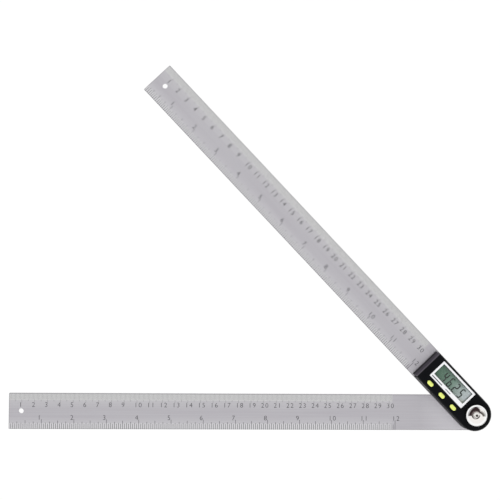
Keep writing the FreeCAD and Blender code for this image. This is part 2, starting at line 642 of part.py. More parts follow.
def switch_domes():
    """Three low snap domes on the board, one under each button."""
    half = DOME_SIDE / 2
    top = BOARD_TOP + DOME_HEIGHT
    domes = []
    for u in BUTTON_US:
        plate = block(u - half, u + half, BUTTON_V - half, BUTTON_V + half, BOARD_TOP, top)
        domes.append(bevel(bevel(plate, DOME_CORNER, is_upright), DOME_SLOPE, lies_at(top)))
    return Part.makeCompound(domes)


def board_screws():
    """Two screws from below through the board into the cover's posts."""
    screws = []
    for u, v in POST_PLACES:
        head = round_bar(BOARD_SCREW_HEAD, BOARD_BOTTOM - BOARD_SCREW_HEAD_THICKNESS, BOARD_BOTTOM, u, v)
        shank = round_bar(BOARD_SCREW_RADIUS, BOARD_BOTTOM, BOARD_TOP + BOARD_SCREW_BITE, u, v)
        screws.append(head.fuse(shank))
    return Part.makeCompound(screws)


def lcd_panel():
    """Display cell: the upper glass overhangs the lower one for the connector strips."""
    return fuse_all([
        display_plate(GLASS_HALF_LENGTH, -LOWER_GLASS_HALF, LOWER_GLASS_HALF,
                      LOWER_GLASS_BOTTOM, UPPER_GLASS_BOTTOM),
        display_plate(GLASS_HALF_LENGTH, -UPPER_GLASS_HALF, UPPER_GLASS_HALF,
                      UPPER_GLASS_BOTTOM, CEILING),
    ])


def zebra_strips():
    """Two connector strips between the board and the overhang of the upper glass."""
    middle = LOWER_GLASS_HALF + GLASS_LEDGE / 2
    half_length = GLASS_HALF_LENGTH - ZEBRA_END_INSET
    return Part.makeCompound([
        display_plate(half_length, side * middle - ZEBRA_WIDTH / 2, side * middle + ZEBRA_WIDTH / 2,
                      BOARD_TOP, UPPER_GLASS_BOTTOM)
        for side in (-1, 1)
    ])


def lcd_window():
    """Clear window: a rim held under the bezel and a raised centre inside it."""
    return fuse_all([
        window_plate(WINDOW_FLANGE, CEILING + WINDOW_LIFT, BEZEL_BOTTOM),
        window_plate(0.0, BEZEL_BOTTOM, BEZEL_TOP - WINDOW_RECESS),
    ])


def lcd_bezel():
    frame = bezel_plate(BEZEL_BOTTOM, BEZEL_TOP)
    frame = frame.cut(window_plate(0.0, BEZEL_BOTTOM, BEZEL_TOP))
    return bevel(frame, BEZEL_BEVEL, lies_at(BEZEL_TOP))


# ---------------------------------------------------------------- buttons
def button(u):
    """Oval crown above the case, rim below its roof, and a stem over the snap dome."""
    rim_bottom = CEILING - BUTTON_FLANGE_THICKNESS
    crown_top = CASE_TOP + BUTTON_PROUD
    crown = bevel(button_oval(0.0, rim_bottom, crown_top, u), BUTTON_EDGE, lies_at(crown_top))
    rim_half = BUTTON_LENGTH / 2 + BUTTON_FLANGE
    rim = block(u - rim_half, u + rim_half, BUTTON_V - BUTTON_FLANGE_HALF,
                BUTTON_V + BUTTON_FLANGE_HALF, rim_bottom, CEILING)
    half = BUTTON_STEM_SIDE / 2
    stem = block(u - half, u + half, BUTTON_V - half, BUTTON_V + half,
                 BOARD_TOP + DOME_HEIGHT + BUTTON_TRAVEL + BUTTON_SPARE, rim_bottom)
    return fuse_all([crown, rim, stem])


# ---------------------------------------------------------------- assembly
BASE_PIECES = {
    "base_blade": base_blade,
    "pivot_hub": pivot_hub,
    "blade_washer": blade_washer,
    "rotor_carrier": rotor_carrier,
    "rotor_disc": rotor_disc,
    "rotor_nut": rotor_nut,
    "knob_screw": knob_screw,
    "wave_washer": wave_washer,
    "lock_knob": lock_knob,
}
ARM_PIECES = {
    "arm_blade": arm_blade,
    "arm_bush": arm_bush,
    "case_cover": case_cover,
    "case_screws": case_screws,
    "battery_guide": battery_guide,
    "battery_tray": battery_tray,
    "coin_cell": coin_cell,
    "positive_contact": positive_contact,
    "negative_contact": negative_contact,
    "main_board": main_board,
    "controller_chip": controller_chip,
    "switch_domes": switch_domes,
    "board_screws": board_screws,
    "lcd_panel": lcd_panel,
    "zebra_strips": zebra_strips,
    "lcd_window": lcd_window,
    "lcd_bezel": lcd_bezel,
    "power_button": lambda: button(BUTTON_US[0]),
    "zero_button": lambda: button(BUTTON_US[1]),
    "hold_button": lambda: button(BUTTON_US[2]),
}


def export(pieces, turn):
    """Turn the pieces about the pivot axis and write each one."""
    for name, make in pieces.items():
        shape = make()
        shape.rotate(Vector(0, 0, 0), UP, turn)
        shape.exportStep(f"parts/{name}.step")
        box = shape.BoundBox
        print(f"{name}: {len(shape.Solids)} solid(s), valid {shape.isValid()}, "
              f"{shape.Volume:.1f} mm3, z {box.ZMin:.2f} to {box.ZMax:.2f}")


os.makedirs("parts", exist_ok=True)
export(BASE_PIECES, 180.0)
export(ARM_PIECES, 180.0 - ARM_ANGLE)
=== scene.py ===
# %% [markdown]
# # A digital angle finder
#
# Two steel rules turn on one pivot, and the upper one carries a black reading head with a
# display, three oval buttons and a chromed lock knob.  The construction is already fixed: every
# part has its size, its place and its joint.  This lesson gives the tool its looks.  First come
# the frame and a few helpers, then the finishes of the pieces that keep their mesh, then those
# that deserve a finer mesh than the construction gives them, and last the scales, the light and
# the camera.

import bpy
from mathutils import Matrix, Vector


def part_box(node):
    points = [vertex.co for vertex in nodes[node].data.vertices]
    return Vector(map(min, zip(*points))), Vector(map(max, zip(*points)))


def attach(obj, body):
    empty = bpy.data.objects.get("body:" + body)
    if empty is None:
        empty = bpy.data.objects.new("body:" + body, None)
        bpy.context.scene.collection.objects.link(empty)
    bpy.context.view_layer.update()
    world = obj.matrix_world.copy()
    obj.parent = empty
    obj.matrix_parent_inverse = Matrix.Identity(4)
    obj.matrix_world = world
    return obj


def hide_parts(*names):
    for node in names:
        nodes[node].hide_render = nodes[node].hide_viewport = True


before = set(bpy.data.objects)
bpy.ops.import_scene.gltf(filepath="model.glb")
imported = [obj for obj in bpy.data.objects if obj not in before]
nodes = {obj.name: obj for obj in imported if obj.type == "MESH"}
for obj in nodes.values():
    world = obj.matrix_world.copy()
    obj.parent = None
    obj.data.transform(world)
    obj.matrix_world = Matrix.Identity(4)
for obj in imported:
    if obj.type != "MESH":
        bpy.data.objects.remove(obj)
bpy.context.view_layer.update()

import math

import bmesh
import bpy
from mathutils import Color, Matrix, Vector

bpy.ops.object.select_all(action="DESELECT")
MM = 0.001

# %% [markdown]
# ## Two blades, one drawing
#
# Both blades carry the same scales and point away from the pivot in their own direction.  Drawing
# everything twice would be slow, so it is drawn once in a blade's own frame: *u* runs from the
# pivot to the free end, *v* across towards the buttons, *z* up.  One turn about the pivot then
# takes it to its blade.  The reading on the display is the angle between the two blades, so the
# digits and the arm's direction come from the same number.

# %% The blades' own frame
READING = 46.25
BASE_TURN = math.radians(180)
ARM_TURN = math.radians(180 - READING)


def place_in_blade(node, turn=ARM_TURN):
    """Lowest and highest corner of a node in its blade's frame, in millimetres."""
    back = Matrix.Rotation(-turn, 3, "Z")
    corners = [back @ vertex.co / MM for vertex in nodes[node].data.vertices]
    low = Vector([min(corner[axis] for corner in corners) for axis in range(3)])
    high = Vector([max(corner[axis] for corner in corners) for axis in range(3)])
    return low, high


base_high = place_in_blade("base_blade", BASE_TURN)[1]
arm_high = place_in_blade("arm_blade")[1]
BLADE_LENGTH = base_high.x
BLADE_HALF = base_high.y
print("blade, from pivot to free end:", round(BLADE_LENGTH, 2), "mm")
print("blade, across:", round(2 * BLADE_HALF, 2), "mm")

# %% [markdown]
# ## Selecting
#
# An operator works on what is selected, so each step starts by saying what that is.  `choose`
# selects whole pieces, and `pick` selects faces, edges or vertices by a test on their place.  Two
# places that are nearer than a hundredth of a millimetre count as one.

# %% Selecting
NEAR = 0.01


def choose(*pieces):
    """Selects these pieces and nothing else, in object mode."""
    if bpy.context.object and bpy.context.object.mode != "OBJECT":
        bpy.ops.object.mode_set(mode="OBJECT")
    bpy.ops.object.select_all(action="DESELECT")
    for piece in pieces:
        piece.select_set(True)
    bpy.context.view_layer.objects.active = pieces[0]


def edit(piece):
    """Opens one piece in edit mode with everything selected."""
    choose(piece)
    bpy.ops.object.mode_set(mode="EDIT")
    bpy.ops.mesh.select_all(action="SELECT")


def pick(piece, kind, test):
    """Selects the faces, edges or vertices whose middle, in millimetres, passes the test."""
    bpy.ops.mesh.select_mode(type=kind)
    bpy.ops.mesh.select_all(action="DESELECT")
    mesh = bmesh.from_edit_mesh(piece.data)
    for part in {"VERT": mesh.verts, "EDGE": mesh.edges, "FACE": mesh.faces}[kind]:
        corners = [part] if kind == "VERT" else part.verts
        middle = sum((corner.co for corner in corners), Vector()) / len(corners)
        if test(middle / MM):
            part.select_set(True)
    mesh.select_flush_mode()
    bmesh.update_edit_mesh(piece.data)


# %% [markdown]
# ## Shaping and settling
#
# Pieces are drawn in millimetres, and Blender's unit is the metre, so every place goes through
# `metres`.  Modifiers are applied at once, which keeps each mesh what it looks like.  `settle` ends
# a piece: its place goes into its mesh, it is turned to its blade, and its round faces are smoothed
# while its real edges stay crisp.

# %% Shaping and settling
def metres(*place):
    """A place or a step in millimetres, as Blender takes it."""
    return tuple(part * MM for part in place)


def apply_place(*pieces):
    """Writes the place, turn and size of pieces into their meshes."""
    choose(*pieces)
    bpy.ops.object.transform_apply(location=True, rotation=True, scale=True)


def apply_modifier(piece, kind, **settings):
    """Adds one modifier to a piece, sets it and applies it."""
    choose(piece)
    bpy.ops.object.modifier_add(type=kind)
    modifier = piece.modifiers[-1]
    for setting, value in settings.items():
        setattr(modifier, setting, value)
    bpy.ops.object.modifier_apply(modifier=modifier.name)


def cut_out(piece, cutter):
    """Cuts a second piece out of the first, and takes the second away."""
    apply_modifier(piece, "BOOLEAN", operation="DIFFERENCE", solver="EXACT", object=cutter)
    choose(cutter)
    bpy.ops.object.delete()


def joined(name, *pieces):
    """Makes one piece of several."""
    apply_place(*pieces)
    bpy.ops.object.join()
    piece = bpy.context.object
    piece.name = name
    return piece


def settle(piece, turn=0.0, smooth_below=32):
    """Ends a piece: its place is in its mesh, at its blade, and edges below an angle are smooth."""
    apply_place(piece)
    piece.rotation_euler.z = turn
    apply_place(piece)
    bpy.ops.object.shade_smooth_by_angle(angle=math.radians(smooth_below))
    apply_modifier(piece, "WEIGHTED_NORMAL", keep_sharp=True)
    print(piece.name, len(piece.data.polygons), "faces")
    return piece


# %% [markdown]
# ## Sums for shaders
#
# A finish is a small sum: a base value, plus a pattern, times a mask.  Written with nodes it turns
# into a long list of boxes and wires.  `Field` wraps the output of one node and gives it Python's
# operators, so that the sum can be written as a sum.  Masks are ramps: `fade` falls from one to
# nothing, and `between` is one on a stretch and falls off softly on both sides.

# %% Sums for shaders
TONE_STEPS = 255


def tone(red, green, blue):
    """A colour on the usual scale from 0 to 255, as the linear values that a shader takes."""
    shown = Color((red, green, blue)) / TONE_STEPS
    return (*shown.from_srgb_to_scene_linear(), 1.0)


class Field:
    """One output of a node, which can be used in sums."""

    def __init__(self, finish, socket):
        self.finish = finish
        self.socket = socket

    def maths(self, operation, *terms):
        return self.finish.node("Math", {"operation": operation}, *terms)

    def __add__(self, other):
        return self.maths("ADD", self, other)

    def __radd__(self, other):
        return self.maths("ADD", other, self)

    def __sub__(self, other):
        return self.maths("SUBTRACT", self, other)

    def __rsub__(self, other):
        return self.maths("SUBTRACT", other, self)

    def __mul__(self, other):
        return self.maths("MULTIPLY", self, other)

    def __rmul__(self, other):
        return self.maths("MULTIPLY", other, self)

    def __pow__(self, other):
        return self.maths("POWER", self, other)

    def __abs__(self):
        return self.maths("ABSOLUTE", self)

    def __gt__(self, other):
        return self.maths("GREATER_THAN", self, other)

    def __lt__(self, other):
        return self.maths("LESS_THAN", self, other)

    def larger(self, other):
        return self.maths("MAXIMUM", self, other)

    def fraction(self):
        return self.maths("FRACT", self)

    def ramp(self, start, end, low=0.0, high=1.0):
        """Straight ramp from low at start to high at end, level outside."""
        return self.finish.node("MapRange", {"clamp": True}, self, start, end, low, high)

    def fade(self, start, end):
        """One up to start, and nothing from end on."""
        return self.ramp(start, end, 1.0, 0.0)

    def between(self, start, end, border):
        """One from start to end, with soft borders outside them."""
        return self.ramp(start - border, start) * self.fade(end, end + border)


# %% [markdown]
# ## A finish and its nodes
#
# `Finish` holds one material, and its `node` makes every node there is: settings first, then the
# values or links of the sockets.  Patterns are placed in millimetres in a blade's own frame, from
# Object coordinates, so that they stay on the piece when it moves.

# %% A finish and its nodes
def socket_named(sockets, name):
    """The socket that a Python name stands for, as Base_Color does for Base Color."""
    wanted = name.replace("_", " ").lower()
    return next(socket for socket in sockets if socket.name.lower() == wanted)


class Finish:
    """A material on one Principled shader, and the nodes that vary it over the surface."""

    def __init__(self, name, **constants):
        self.material = bpy.data.materials.new(name)
        self.material.use_nodes = True
        self.tree = self.material.node_tree
        self.surface = self.tree.nodes["Principled BSDF"]
        self.varies(**constants)

    def feed(self, socket, value):
        """Links a field to a socket, or sets the socket's own value."""
        if isinstance(value, Field):
            self.tree.links.new(value.socket, socket)
        else:
            socket.default_value = value

    def node(self, kind, settings=None, *inputs, output=None, **named):
        """Makes one node: settings, then sockets in their order, then sockets by name."""
        made = self.tree.nodes.new("ShaderNode" + kind)
        for setting, value in (settings or {}).items():
            setattr(made, setting, value)
        sockets = [socket for socket in made.inputs if socket.enabled]
        for socket, value in zip(sockets, inputs):
            self.feed(socket, value)
        for name, value in named.items():
            self.feed(socket_named(sockets, name), value)
        first = next(socket for socket in made.outputs if socket.enabled)
        return Field(self, made.outputs[output] if output else first)

    def varies(self, **values):
        """Sets or links sockets of the shader by name."""
        for name, value in values.items():
            self.feed(socket_named(self.surface.inputs, name), value)

    def place(self, turn=0.0, stretch=(1.0, 1.0, 1.0)):
        """Place on the object in millimetres, turned back to its blade and stretched."""
        point = self.node("TexCoord", output="Object")
        turned = self.node("Mapping", None, point, Rotation=(0.0, 0.0, -turn),
                           Scale=(1 / MM, 1 / MM, 1 / MM))
        return self.node("Mapping", None, turned, Scale=stretch)

    def axes(self, point):
        """The three coordinates of a place, each as a field."""
        split = self.node("SeparateXYZ", None, point).socket.node
        return [Field(self, socket) for socket in split.outputs]

    def noise(self, point, scale, detail=2.0):
        """Soft noise from 0 to 1 at a place."""
        return self.node("TexNoise", None, point, Scale=scale, Detail=detail)

    def blend(self, share, first, second):
        """One colour turning into another as the share goes from 0 to 1."""
        return self.node("Mix", {"data_type": "RGBA"}, share, first, second)

    def relief(self, height, depth, strength):
        """Bumps the surface: height 0 to 1 stands for the depth in millimetres."""
        self.varies(Normal=self.node("Bump", None, Strength=strength, Distance=depth * MM,
                                     Height=height))

    def dress(self, *names):
        """Puts the material on nodes or pieces."""
        for name in names:
            piece = bpy.data.objects[name]
            piece.data.materials.clear()
            piece.data.materials.append(self.material)
        print(self.material.name, "on", ", ".join(names))


# %% [markdown]
# ## The bands of the scales
#
# Both long edges of a blade are a little lighter than its middle, because they are finished more
# finely to carry the divisions.  A band is a mask that follows the distance from its edge: it is
# full under the short ticks, drops at their inner ends, and fades out under the row of numbers.

# %% The bands of the scales
MM_TICKS = 302
MM_BAND = 5.2
MM_ROW_END = 13.0
MM_BAND_TONE = tone(213, 213, 213)
INCH_BAND = 4.4
INCH_ROW_END = 10.0
INCH_BAND_TONE = tone(216, 215, 218)
BAND_BORDER = 0.3
ROW_SHARE = 0.34
BAND_SHARE = 0.9
SCALE_START = BLADE_LENGTH - MM_TICKS
START_BORDER = 1.0
SKIN = 0.1


def scale_band(from_edge, band, row_end):
    """Full under the ticks, weaker from there on, and nothing beyond the numbers."""
    under_ticks = from_edge.ramp(band, band + BAND_BORDER, 1.0, ROW_SHARE)
    return under_ticks * from_edge.fade(band, row_end)


print("scales start", round(SCALE_START, 1), "mm from the pivot")

# %% [markdown]
# ## Brushed steel for the blades
#
# A rule is cut from stainless strip that was brushed along its length, then printed or etched.
# Brushing leaves scratches as long as a finger and about a tenth of a millimetre wide.  A noise
# that is drawn out along *u* and squeezed across *v* gives them, in the roughness and in a slight
# relief, and a coarser one gives the streaks of the colour.  The colour is darker along the very
# edge.  Round the pivot the steel is painted lighter: painted light that makes up for the shade the
# head casts there.

# %% The blades' finish
STEEL_DARK = tone(184, 181, 187)
STEEL_LIGHT = tone(190, 188, 193)
STEEL_EDGE = tone(150, 148, 152)
STEEL_PAINTED_LIGHT = tone(224, 222, 227)
PAINTED_LIGHT_FROM = 18.0
PAINTED_LIGHT_TO = 42.0
PAINTED_LIGHT_SHARE = 0.5
EDGE_WIDTH = 0.45
EDGE_BORDER = 0.15
EDGE_SHARE = 0.8
SCRATCH_STRETCH = (0.02, 9.0, 1.0)
STREAK_STRETCH = (0.012, 1.6, 1.0)
STREAK_TURNS_LIGHT = (0.35, 0.65)
STEEL_ROUGHNESS = 0.34
SCRATCH_ROUGHNESS = 0.14


def blade_finish(name, turn, top):
    finish = Finish(name, Metallic=0.32)
    u, v, height = finish.axes(finish.place(turn))
    scratches = finish.noise(finish.place(turn, SCRATCH_STRETCH), scale=1.0, detail=3.0)
    streaks = finish.noise(finish.place(turn, STREAK_STRETCH), scale=1.0)
    # Painted light round the pivot, against the shade the head casts on the steel.
    painted_light = ((u * u + v * v) ** 0.5).ramp(PAINTED_LIGHT_FROM, PAINTED_LIGHT_TO, PAINTED_LIGHT_SHARE, 0.0)
    steel = finish.blend(streaks.ramp(*STREAK_TURNS_LIGHT), STEEL_DARK, STEEL_LIGHT)
    steel = finish.blend(painted_light, steel, STEEL_PAINTED_LIGHT)
    on_scale = (height > top - SKIN) * u.ramp(SCALE_START - START_BORDER, SCALE_START) * BAND_SHARE
    mm_band = scale_band(v + BLADE_HALF, MM_BAND, MM_ROW_END)
    inch_band = scale_band(BLADE_HALF - v, INCH_BAND, INCH_ROW_END)
    steel = finish.blend(mm_band * on_scale, steel, MM_BAND_TONE)
    steel = finish.blend(inch_band * on_scale, steel, INCH_BAND_TONE)
    # The colour is darker along the very edge of the steel.
    past_side = abs(v) + (EDGE_WIDTH - BLADE_HALF)
    past_end = u + (EDGE_WIDTH - BLADE_LENGTH)
    edge = past_side.larger(past_end).ramp(-EDGE_BORDER, EDGE_BORDER)
    finish.varies(Base_Color=finish.blend(edge * EDGE_SHARE, steel, STEEL_EDGE),
                  Roughness=STEEL_ROUGHNESS + SCRATCH_ROUGHNESS * scratches)
    finish.relief(scratches, depth=0.004, strength=0.5)
    return finish


blade_finish("steel of the base blade", BASE_TURN, base_high.z).dress("base_blade")
blade_finish("steel of the arm blade", ARM_TURN, arm_high.z).dress("arm_blade")

# %% [markdown]
# ## Moulded plastics
#
# The head is moulded in black ABS with a fine spark-eroded texture: a tight noise in the relief,
# and a roughness that wanders a little where hands have polished it.  A dark plastic lives from
# how little it reflects, so its specular level is kept low.  The same function gives the inner
# guide, the nylon washer and the chip their finish, each with its own grain.

# %% Moulded plastics
HANDLED_TURNS_LIGHT = (0.3, 0.7)
HANDLED_ROUGHNESS = 0.12
TEXTURE_ROUGHNESS = 0.06


def moulded_finish(name, dark, light, roughness, grain, specular, turn=ARM_TURN):
    finish = Finish(name, Specular_IOR_Level=specular)
    point = finish.place(turn)
    texture = finish.noise(point, scale=grain, detail=3.0)
    handled = finish.noise(point, scale=0.12)
    wander = HANDLED_ROUGHNESS * (handled - 0.5) + TEXTURE_ROUGHNESS * texture
    finish.varies(Base_Color=finish.blend(handled.ramp(*HANDLED_TURNS_LIGHT), dark, light),
                  Roughness=roughness + wander)
    finish.relief(texture, depth=0.012, strength=0.6)
    return finish


guide_black = moulded_finish("inner guide", dark=tone(22, 22, 25), light=tone(30, 30, 33),
                             roughness=0.55, grain=4.0, specular=0.3)
nylon = moulded_finish("natural nylon", dark=tone(226, 226, 218), light=tone(234, 234, 228),
                       roughness=0.5, grain=3.0, specular=0.4, turn=0.0)
chip_black = moulded_finish("chip epoxy", dark=tone(28, 28, 30), light=tone(36, 36, 38),
                            roughness=0.6, grain=9.0, specular=0.3)
guide_black.dress("battery_guide")
nylon.dress("blade_washer")
chip_black.dress("controller_chip")

# %% [markdown]
# ## Turned metal
#
# A turned face shows the fine circular grooves of the lathe's tool.  They follow the radius from
# the pivot, so a sine of the radius makes them, in the roughness and in the relief.

# %% Turned metal
TURNING_PITCH = 0.12
BRIGHTER = 1.08
GROOVE_ROUGHNESS = 0.05
CLOUD_ROUGHNESS = 0.08


def turned_finish(name, colour, roughness):
    finish = Finish(name, Metallic=1.0)
    point = finish.place()
    x, y, _ = finish.axes(point)
    radius = (x * x + y * y) ** 0.5
    groove = radius.maths("SINE", radius * (2 * math.pi / TURNING_PITCH))
    cloud = finish.noise(point, scale=0.5)
    bright = tuple(min(1.0, part * BRIGHTER) for part in colour)
    finish.varies(Base_Color=finish.blend(cloud, colour, bright),
                  Roughness=roughness + GROOVE_ROUGHNESS * groove + CLOUD_ROUGHNESS * (cloud - 0.5))
    finish.relief(groove * 0.5 + 0.5, depth=0.003, strength=0.5)
    return finish


hub_steel = turned_finish("turned hub steel", tone(190, 190, 193), roughness=0.28)
bronze = turned_finish("bearing bronze", tone(205, 170, 112), roughness=0.3)
carrier_steel = turned_finish("carrier steel", tone(178, 178, 182), roughness=0.34)
hub_steel.dress("pivot_hub", "rotor_nut")
bronze.dress("arm_bush")
carrier_steel.dress("rotor_carrier")

# %% [markdown]
# ## Plated metal
#
# Plated sheet and wire come from rollers and a bath, not from a lathe.  They have no grooves, only
# a slight cloud and faint scratches from handling, which lie across the piece at one angle.  Only
# the strongest of them are let through to the roughness.

# %% Plated metal
SCRATCHED_ACROSS = math.radians(35)
SCRATCHED_STRETCH = (0.15, 5.0, 1.0)
SCRATCH_SHOWS = (0.55, 0.75)
PLATED_CLOUD_ROUGHNESS = 0.03
DULLER = 0.94


def plated_finish(name, colour, roughness, scratch_roughness=0.06):
    finish = Finish(name, Metallic=1.0)
    cloud = finish.noise(finish.place(), scale=0.6)
    across = finish.place(SCRATCHED_ACROSS, SCRATCHED_STRETCH)
    scratches = finish.noise(across, scale=1.0, detail=3.0)
    wander = scratch_roughness * scratches.ramp(*SCRATCH_SHOWS) + PLATED_CLOUD_ROUGHNESS * cloud
    dull = (*(part * DULLER for part in colour[:3]), 1.0)
    finish.varies(Base_Color=finish.blend(cloud, colour, dull), Roughness=roughness + wander)
    finish.relief(scratches, depth=0.002, strength=0.3)
    return finish


contact_steel = plated_finish("spring steel", tone(186, 186, 188), roughness=0.24)
dome_steel = plated_finish("snap dome steel", tone(208, 206, 198), roughness=0.2)
screw_steel = plated_finish("nickel plated screws", tone(190, 190, 190), roughness=0.22)
contact_steel.dress("positive_contact", "negative_contact")
dome_steel.dress("switch_domes")
screw_steel.dress("board_screws")

# %% [markdown]
# ## The circuit board
#
# The board is glass fibre under a green mask.  Copper runs under the mask and lifts it a little
# lighter, in straight tracks with square corners.  Drawing them would take an evening; the contour
# lines of a Voronoi pattern in the chessboard metric look just like them.

# %% The circuit board
MASK_GREEN = tone(18, 74, 44)
TRACK_GREEN = tone(40, 112, 70)
COPPER = tone(206, 168, 96)
TRACKS_PER_CELL = 3.0
TRACK_FROM = 0.5
TRACK_TO = 0.62
TRACK_BORDER = 0.08


def board_finish(name):
    finish = Finish(name, Roughness=0.38, Specular_IOR_Level=0.5)
    cells = finish.node("TexVoronoi", {"distance": "CHEBYCHEV", "feature": "F2"},
                        finish.place(ARM_TURN), Scale=0.35, Randomness=0.85)
    track = (cells * TRACKS_PER_CELL).fraction().between(TRACK_FROM, TRACK_TO, TRACK_BORDER)
    finish.varies(Base_Color=finish.blend(track, MASK_GREEN, TRACK_GREEN))
    finish.relief(track, depth=0.03, strength=0.6)
    return finish


board_finish("main board mask").dress("main_board")

# %% [markdown]
# ## The encoder's disc
#
# The angle is read by a disc with bare copper fields that turns past the board.  The fields are
# equal sectors of a ring.  The bearing, counted in fields, has a fraction that runs from nothing
# to one in each of them, and the upper half of it is copper.

# %% The encoder's disc
ENCODER_FIELDS = 48
FIELDS_FROM = 6.7
FIELDS_TO = 9.6
FIELDS_BORDER = 0.1
COPPER_STARTS = (0.45, 0.5)
MASK_ROUGHNESS = 0.4
COPPER_SMOOTHER = 0.12


def encoder_finish(name):
    finish = Finish(name, Specular_IOR_Level=0.5)
    x, y, _ = finish.axes(finish.place(BASE_TURN))
    turns = x.maths("ARCTAN2", y, x) * (ENCODER_FIELDS / (2 * math.pi))
    ring = ((x * x + y * y) ** 0.5).between(FIELDS_FROM, FIELDS_TO, FIELDS_BORDER)
    copper = turns.fraction().ramp(*COPPER_STARTS) * ring
    finish.varies(Base_Color=finish.blend(copper, MASK_GREEN, COPPER), Metallic=copper,
                  Roughness=MASK_ROUGHNESS - COPPER_SMOOTHER * copper)
    finish.relief(copper, depth=0.03, strength=0.6)
    return finish


encoder_finish("encoder disc").dress("rotor_disc")

# %% [markdown]
# ## The opening of the display
#
# What shows of the display is what its frame leaves open.  The finish of the panel, the frame and
# the digits all take their places from that opening, so it is measured first, from the frame's own
# outline and the widths of its four borders.

# %% The opening of the display
bezel_low, bezel_high = place_in_blade("lcd_bezel")
PIVOT_BORDER = 2.05
FAR_BORDER = 1.8
PLAIN_BORDER = 1.65
PRINT_BORDER = 3.5
view_low = Vector((bezel_low.x + PIVOT_BORDER, bezel_low.y + PLAIN_BORDER))
view_high = Vector((bezel_high.x - FAR_BORDER, bezel_high.y - PRINT_BORDER))
view_size = view_high - view_low
print("display opening:", round(view_size.x, 2), "by", round(view_size.y, 2), "mm")

# %% [markdown]
# ## The liquid crystal panel
#
# A reflective panel is a grey-green glass that takes its light from the room.  It darkens towards
# the side it is seen from at a shallow angle, and that darkening is painted into its colour: it
# runs from a light grey by the pivot to a dark green at the far end.  One corner by the pivot is a
# little warmer.  The frame stands over the panel and shades it, with a dark line along three
# borders and a wide soft shade on one long side.
# Each is a ramp of the distance from a border.

# %% The liquid crystal panel
NEAR_GLASS = tone(184, 192, 194)
MIDDLE_GLASS = tone(110, 136, 122)
FAR_GLASS = tone(66, 100, 80)
WARM_GLASS = tone(176, 182, 150)
FRAME_SHADE = tone(52, 62, 60)
CLOUD_SHARE = 0.16
NEAR_TO_MIDDLE = (0.05, 0.5)
MIDDLE_TO_FAR = (0.5, 0.95)
WARM_SIDE = (8.0, 10.5)
WARM_END = (1.0, 5.0)
WARM_SHARE = 0.6
WIDE_SHADE = (0.4, 3.6)
WIDE_STARTS = (0.1, 0.3)
WIDE_SHARE = 0.5
LINE_SHADE = (0.2, 0.9)
PIVOT_LINE_SHADE = (0.2, 0.8)
LINE_SHARE = 0.6


def panel_finish():
    finish = Finish("liquid crystal panel", Roughness=0.3, Specular_IOR_Level=0.15)
    point = finish.place(ARM_TURN)
    u, v, _ = finish.axes(point)
    from_pivot_end = u - view_low.x
    from_far_end = view_high.x - u
    from_side = v - view_low.y
    along = u.ramp(view_low.x, view_high.x)
    clouded = along + CLOUD_SHARE * (finish.noise(point, scale=0.15) - 0.5)
    # The darkening that comes with the angle of view, painted into the colour from the pivot end to
    # the far end.
    glass = finish.blend(clouded.ramp(*NEAR_TO_MIDDLE), NEAR_GLASS, MIDDLE_GLASS)
    glass = finish.blend(clouded.ramp(*MIDDLE_TO_FAR), glass, FAR_GLASS)
    warm = from_side.ramp(*WARM_SIDE) * from_pivot_end.fade(*WARM_END)
    glass = finish.blend(warm * WARM_SHARE, glass, WARM_GLASS)
    wide = from_side.fade(*WIDE_SHADE) * along.ramp(*WIDE_STARTS)
    glass = finish.blend(wide * WIDE_SHARE, glass, FRAME_SHADE)
    at_ends = from_far_end.fade(*LINE_SHADE) + from_pivot_end.fade(*PIVOT_LINE_SHADE)
    line = from_side.fade(*LINE_SHADE).larger(at_ends)
    finish.varies(Base_Color=finish.blend(line * LINE_SHARE, glass, FRAME_SHADE))
    return finish


panel_finish().dress("lcd_panel")

# %% [markdown]
# ## Window and connectors
#
# The window over the panel is clear acrylic.  It is nearly invisible, so its alpha is low and only
# its gloss shows, with a trace of haze.  Two strips of rubber, striped in conducting and plain
# layers, join panel and board: the fraction of a coordinate makes the stripes.

# %% Window and connectors
WINDOW_ALPHA = 0.012
HAZE_ALPHA = 0.02
STRIPES_PER_MM = 4.0
RUBBER_PLAIN = tone(205, 203, 196)
RUBBER_CONDUCTING = tone(40, 40, 43)


def window_finish():
    finish = Finish("clear window", Base_Color=tone(238, 244, 240), IOR=1.49, Roughness=0.05)
    haze = finish.noise(finish.place(ARM_TURN), scale=0.2)
    finish.varies(Alpha=WINDOW_ALPHA + HAZE_ALPHA * haze)
    return finish


def connector_finish():
    finish = Finish("striped connector rubber", Roughness=0.7, Specular_IOR_Level=0.3)
    u = finish.axes(finish.place(ARM_TURN))[0]
    stripe = (u * STRIPES_PER_MM).fraction() > 0.5
    finish.varies(Base_Color=finish.blend(stripe, RUBBER_PLAIN, RUBBER_CONDUCTING))
    return finish


window_finish().dress("lcd_window")
connector_finish().dress("zebra_strips")

# %% [markdown]
# ## A copy with rounded edges
#
# A moulding is right in the construction, but its mesh there is loose triangles with knife
# edges.  A moulded edge always has a small radius, because the plastic flows round it.  So a copy
# has its triangles merged and its flat faces joined, and a bevel then rounds every edge by a
# fraction of a millimetre.  The copy stands for the node.

# %% A copy with rounded edges
WELD = 0.002
FLAT_ANGLE = 0.6
CORNER_ANGLE = 28


def rounded_copy(node, name, rounding):
    """A copy of a node with merged triangles and rounded edges, which stands for the node."""
    piece = bpy.data.objects.new(name, nodes[node].data.copy())
    bpy.context.scene.collection.objects.link(piece)
    edit(piece)
    bpy.ops.mesh.remove_doubles(threshold=WELD * MM)
    bpy.ops.mesh.dissolve_limited(angle_limit=math.radians(FLAT_ANGLE))
    apply_modifier(piece, "BEVEL", width=rounding * MM, segments=2, limit_method="ANGLE",
                   angle_limit=math.radians(CORNER_ANGLE))
    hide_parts(node)
    return settle(piece)


# %% [markdown]
# ## The case cover
#
# The cover is the black body of the head.  Its plastic is the moulded finish of above, with a thin
# clear coat where a face is seen aslant, because there a dark plastic mirrors the room.  At the
# very edge of a form the coat is weak again, or it would draw a bright line round the head.

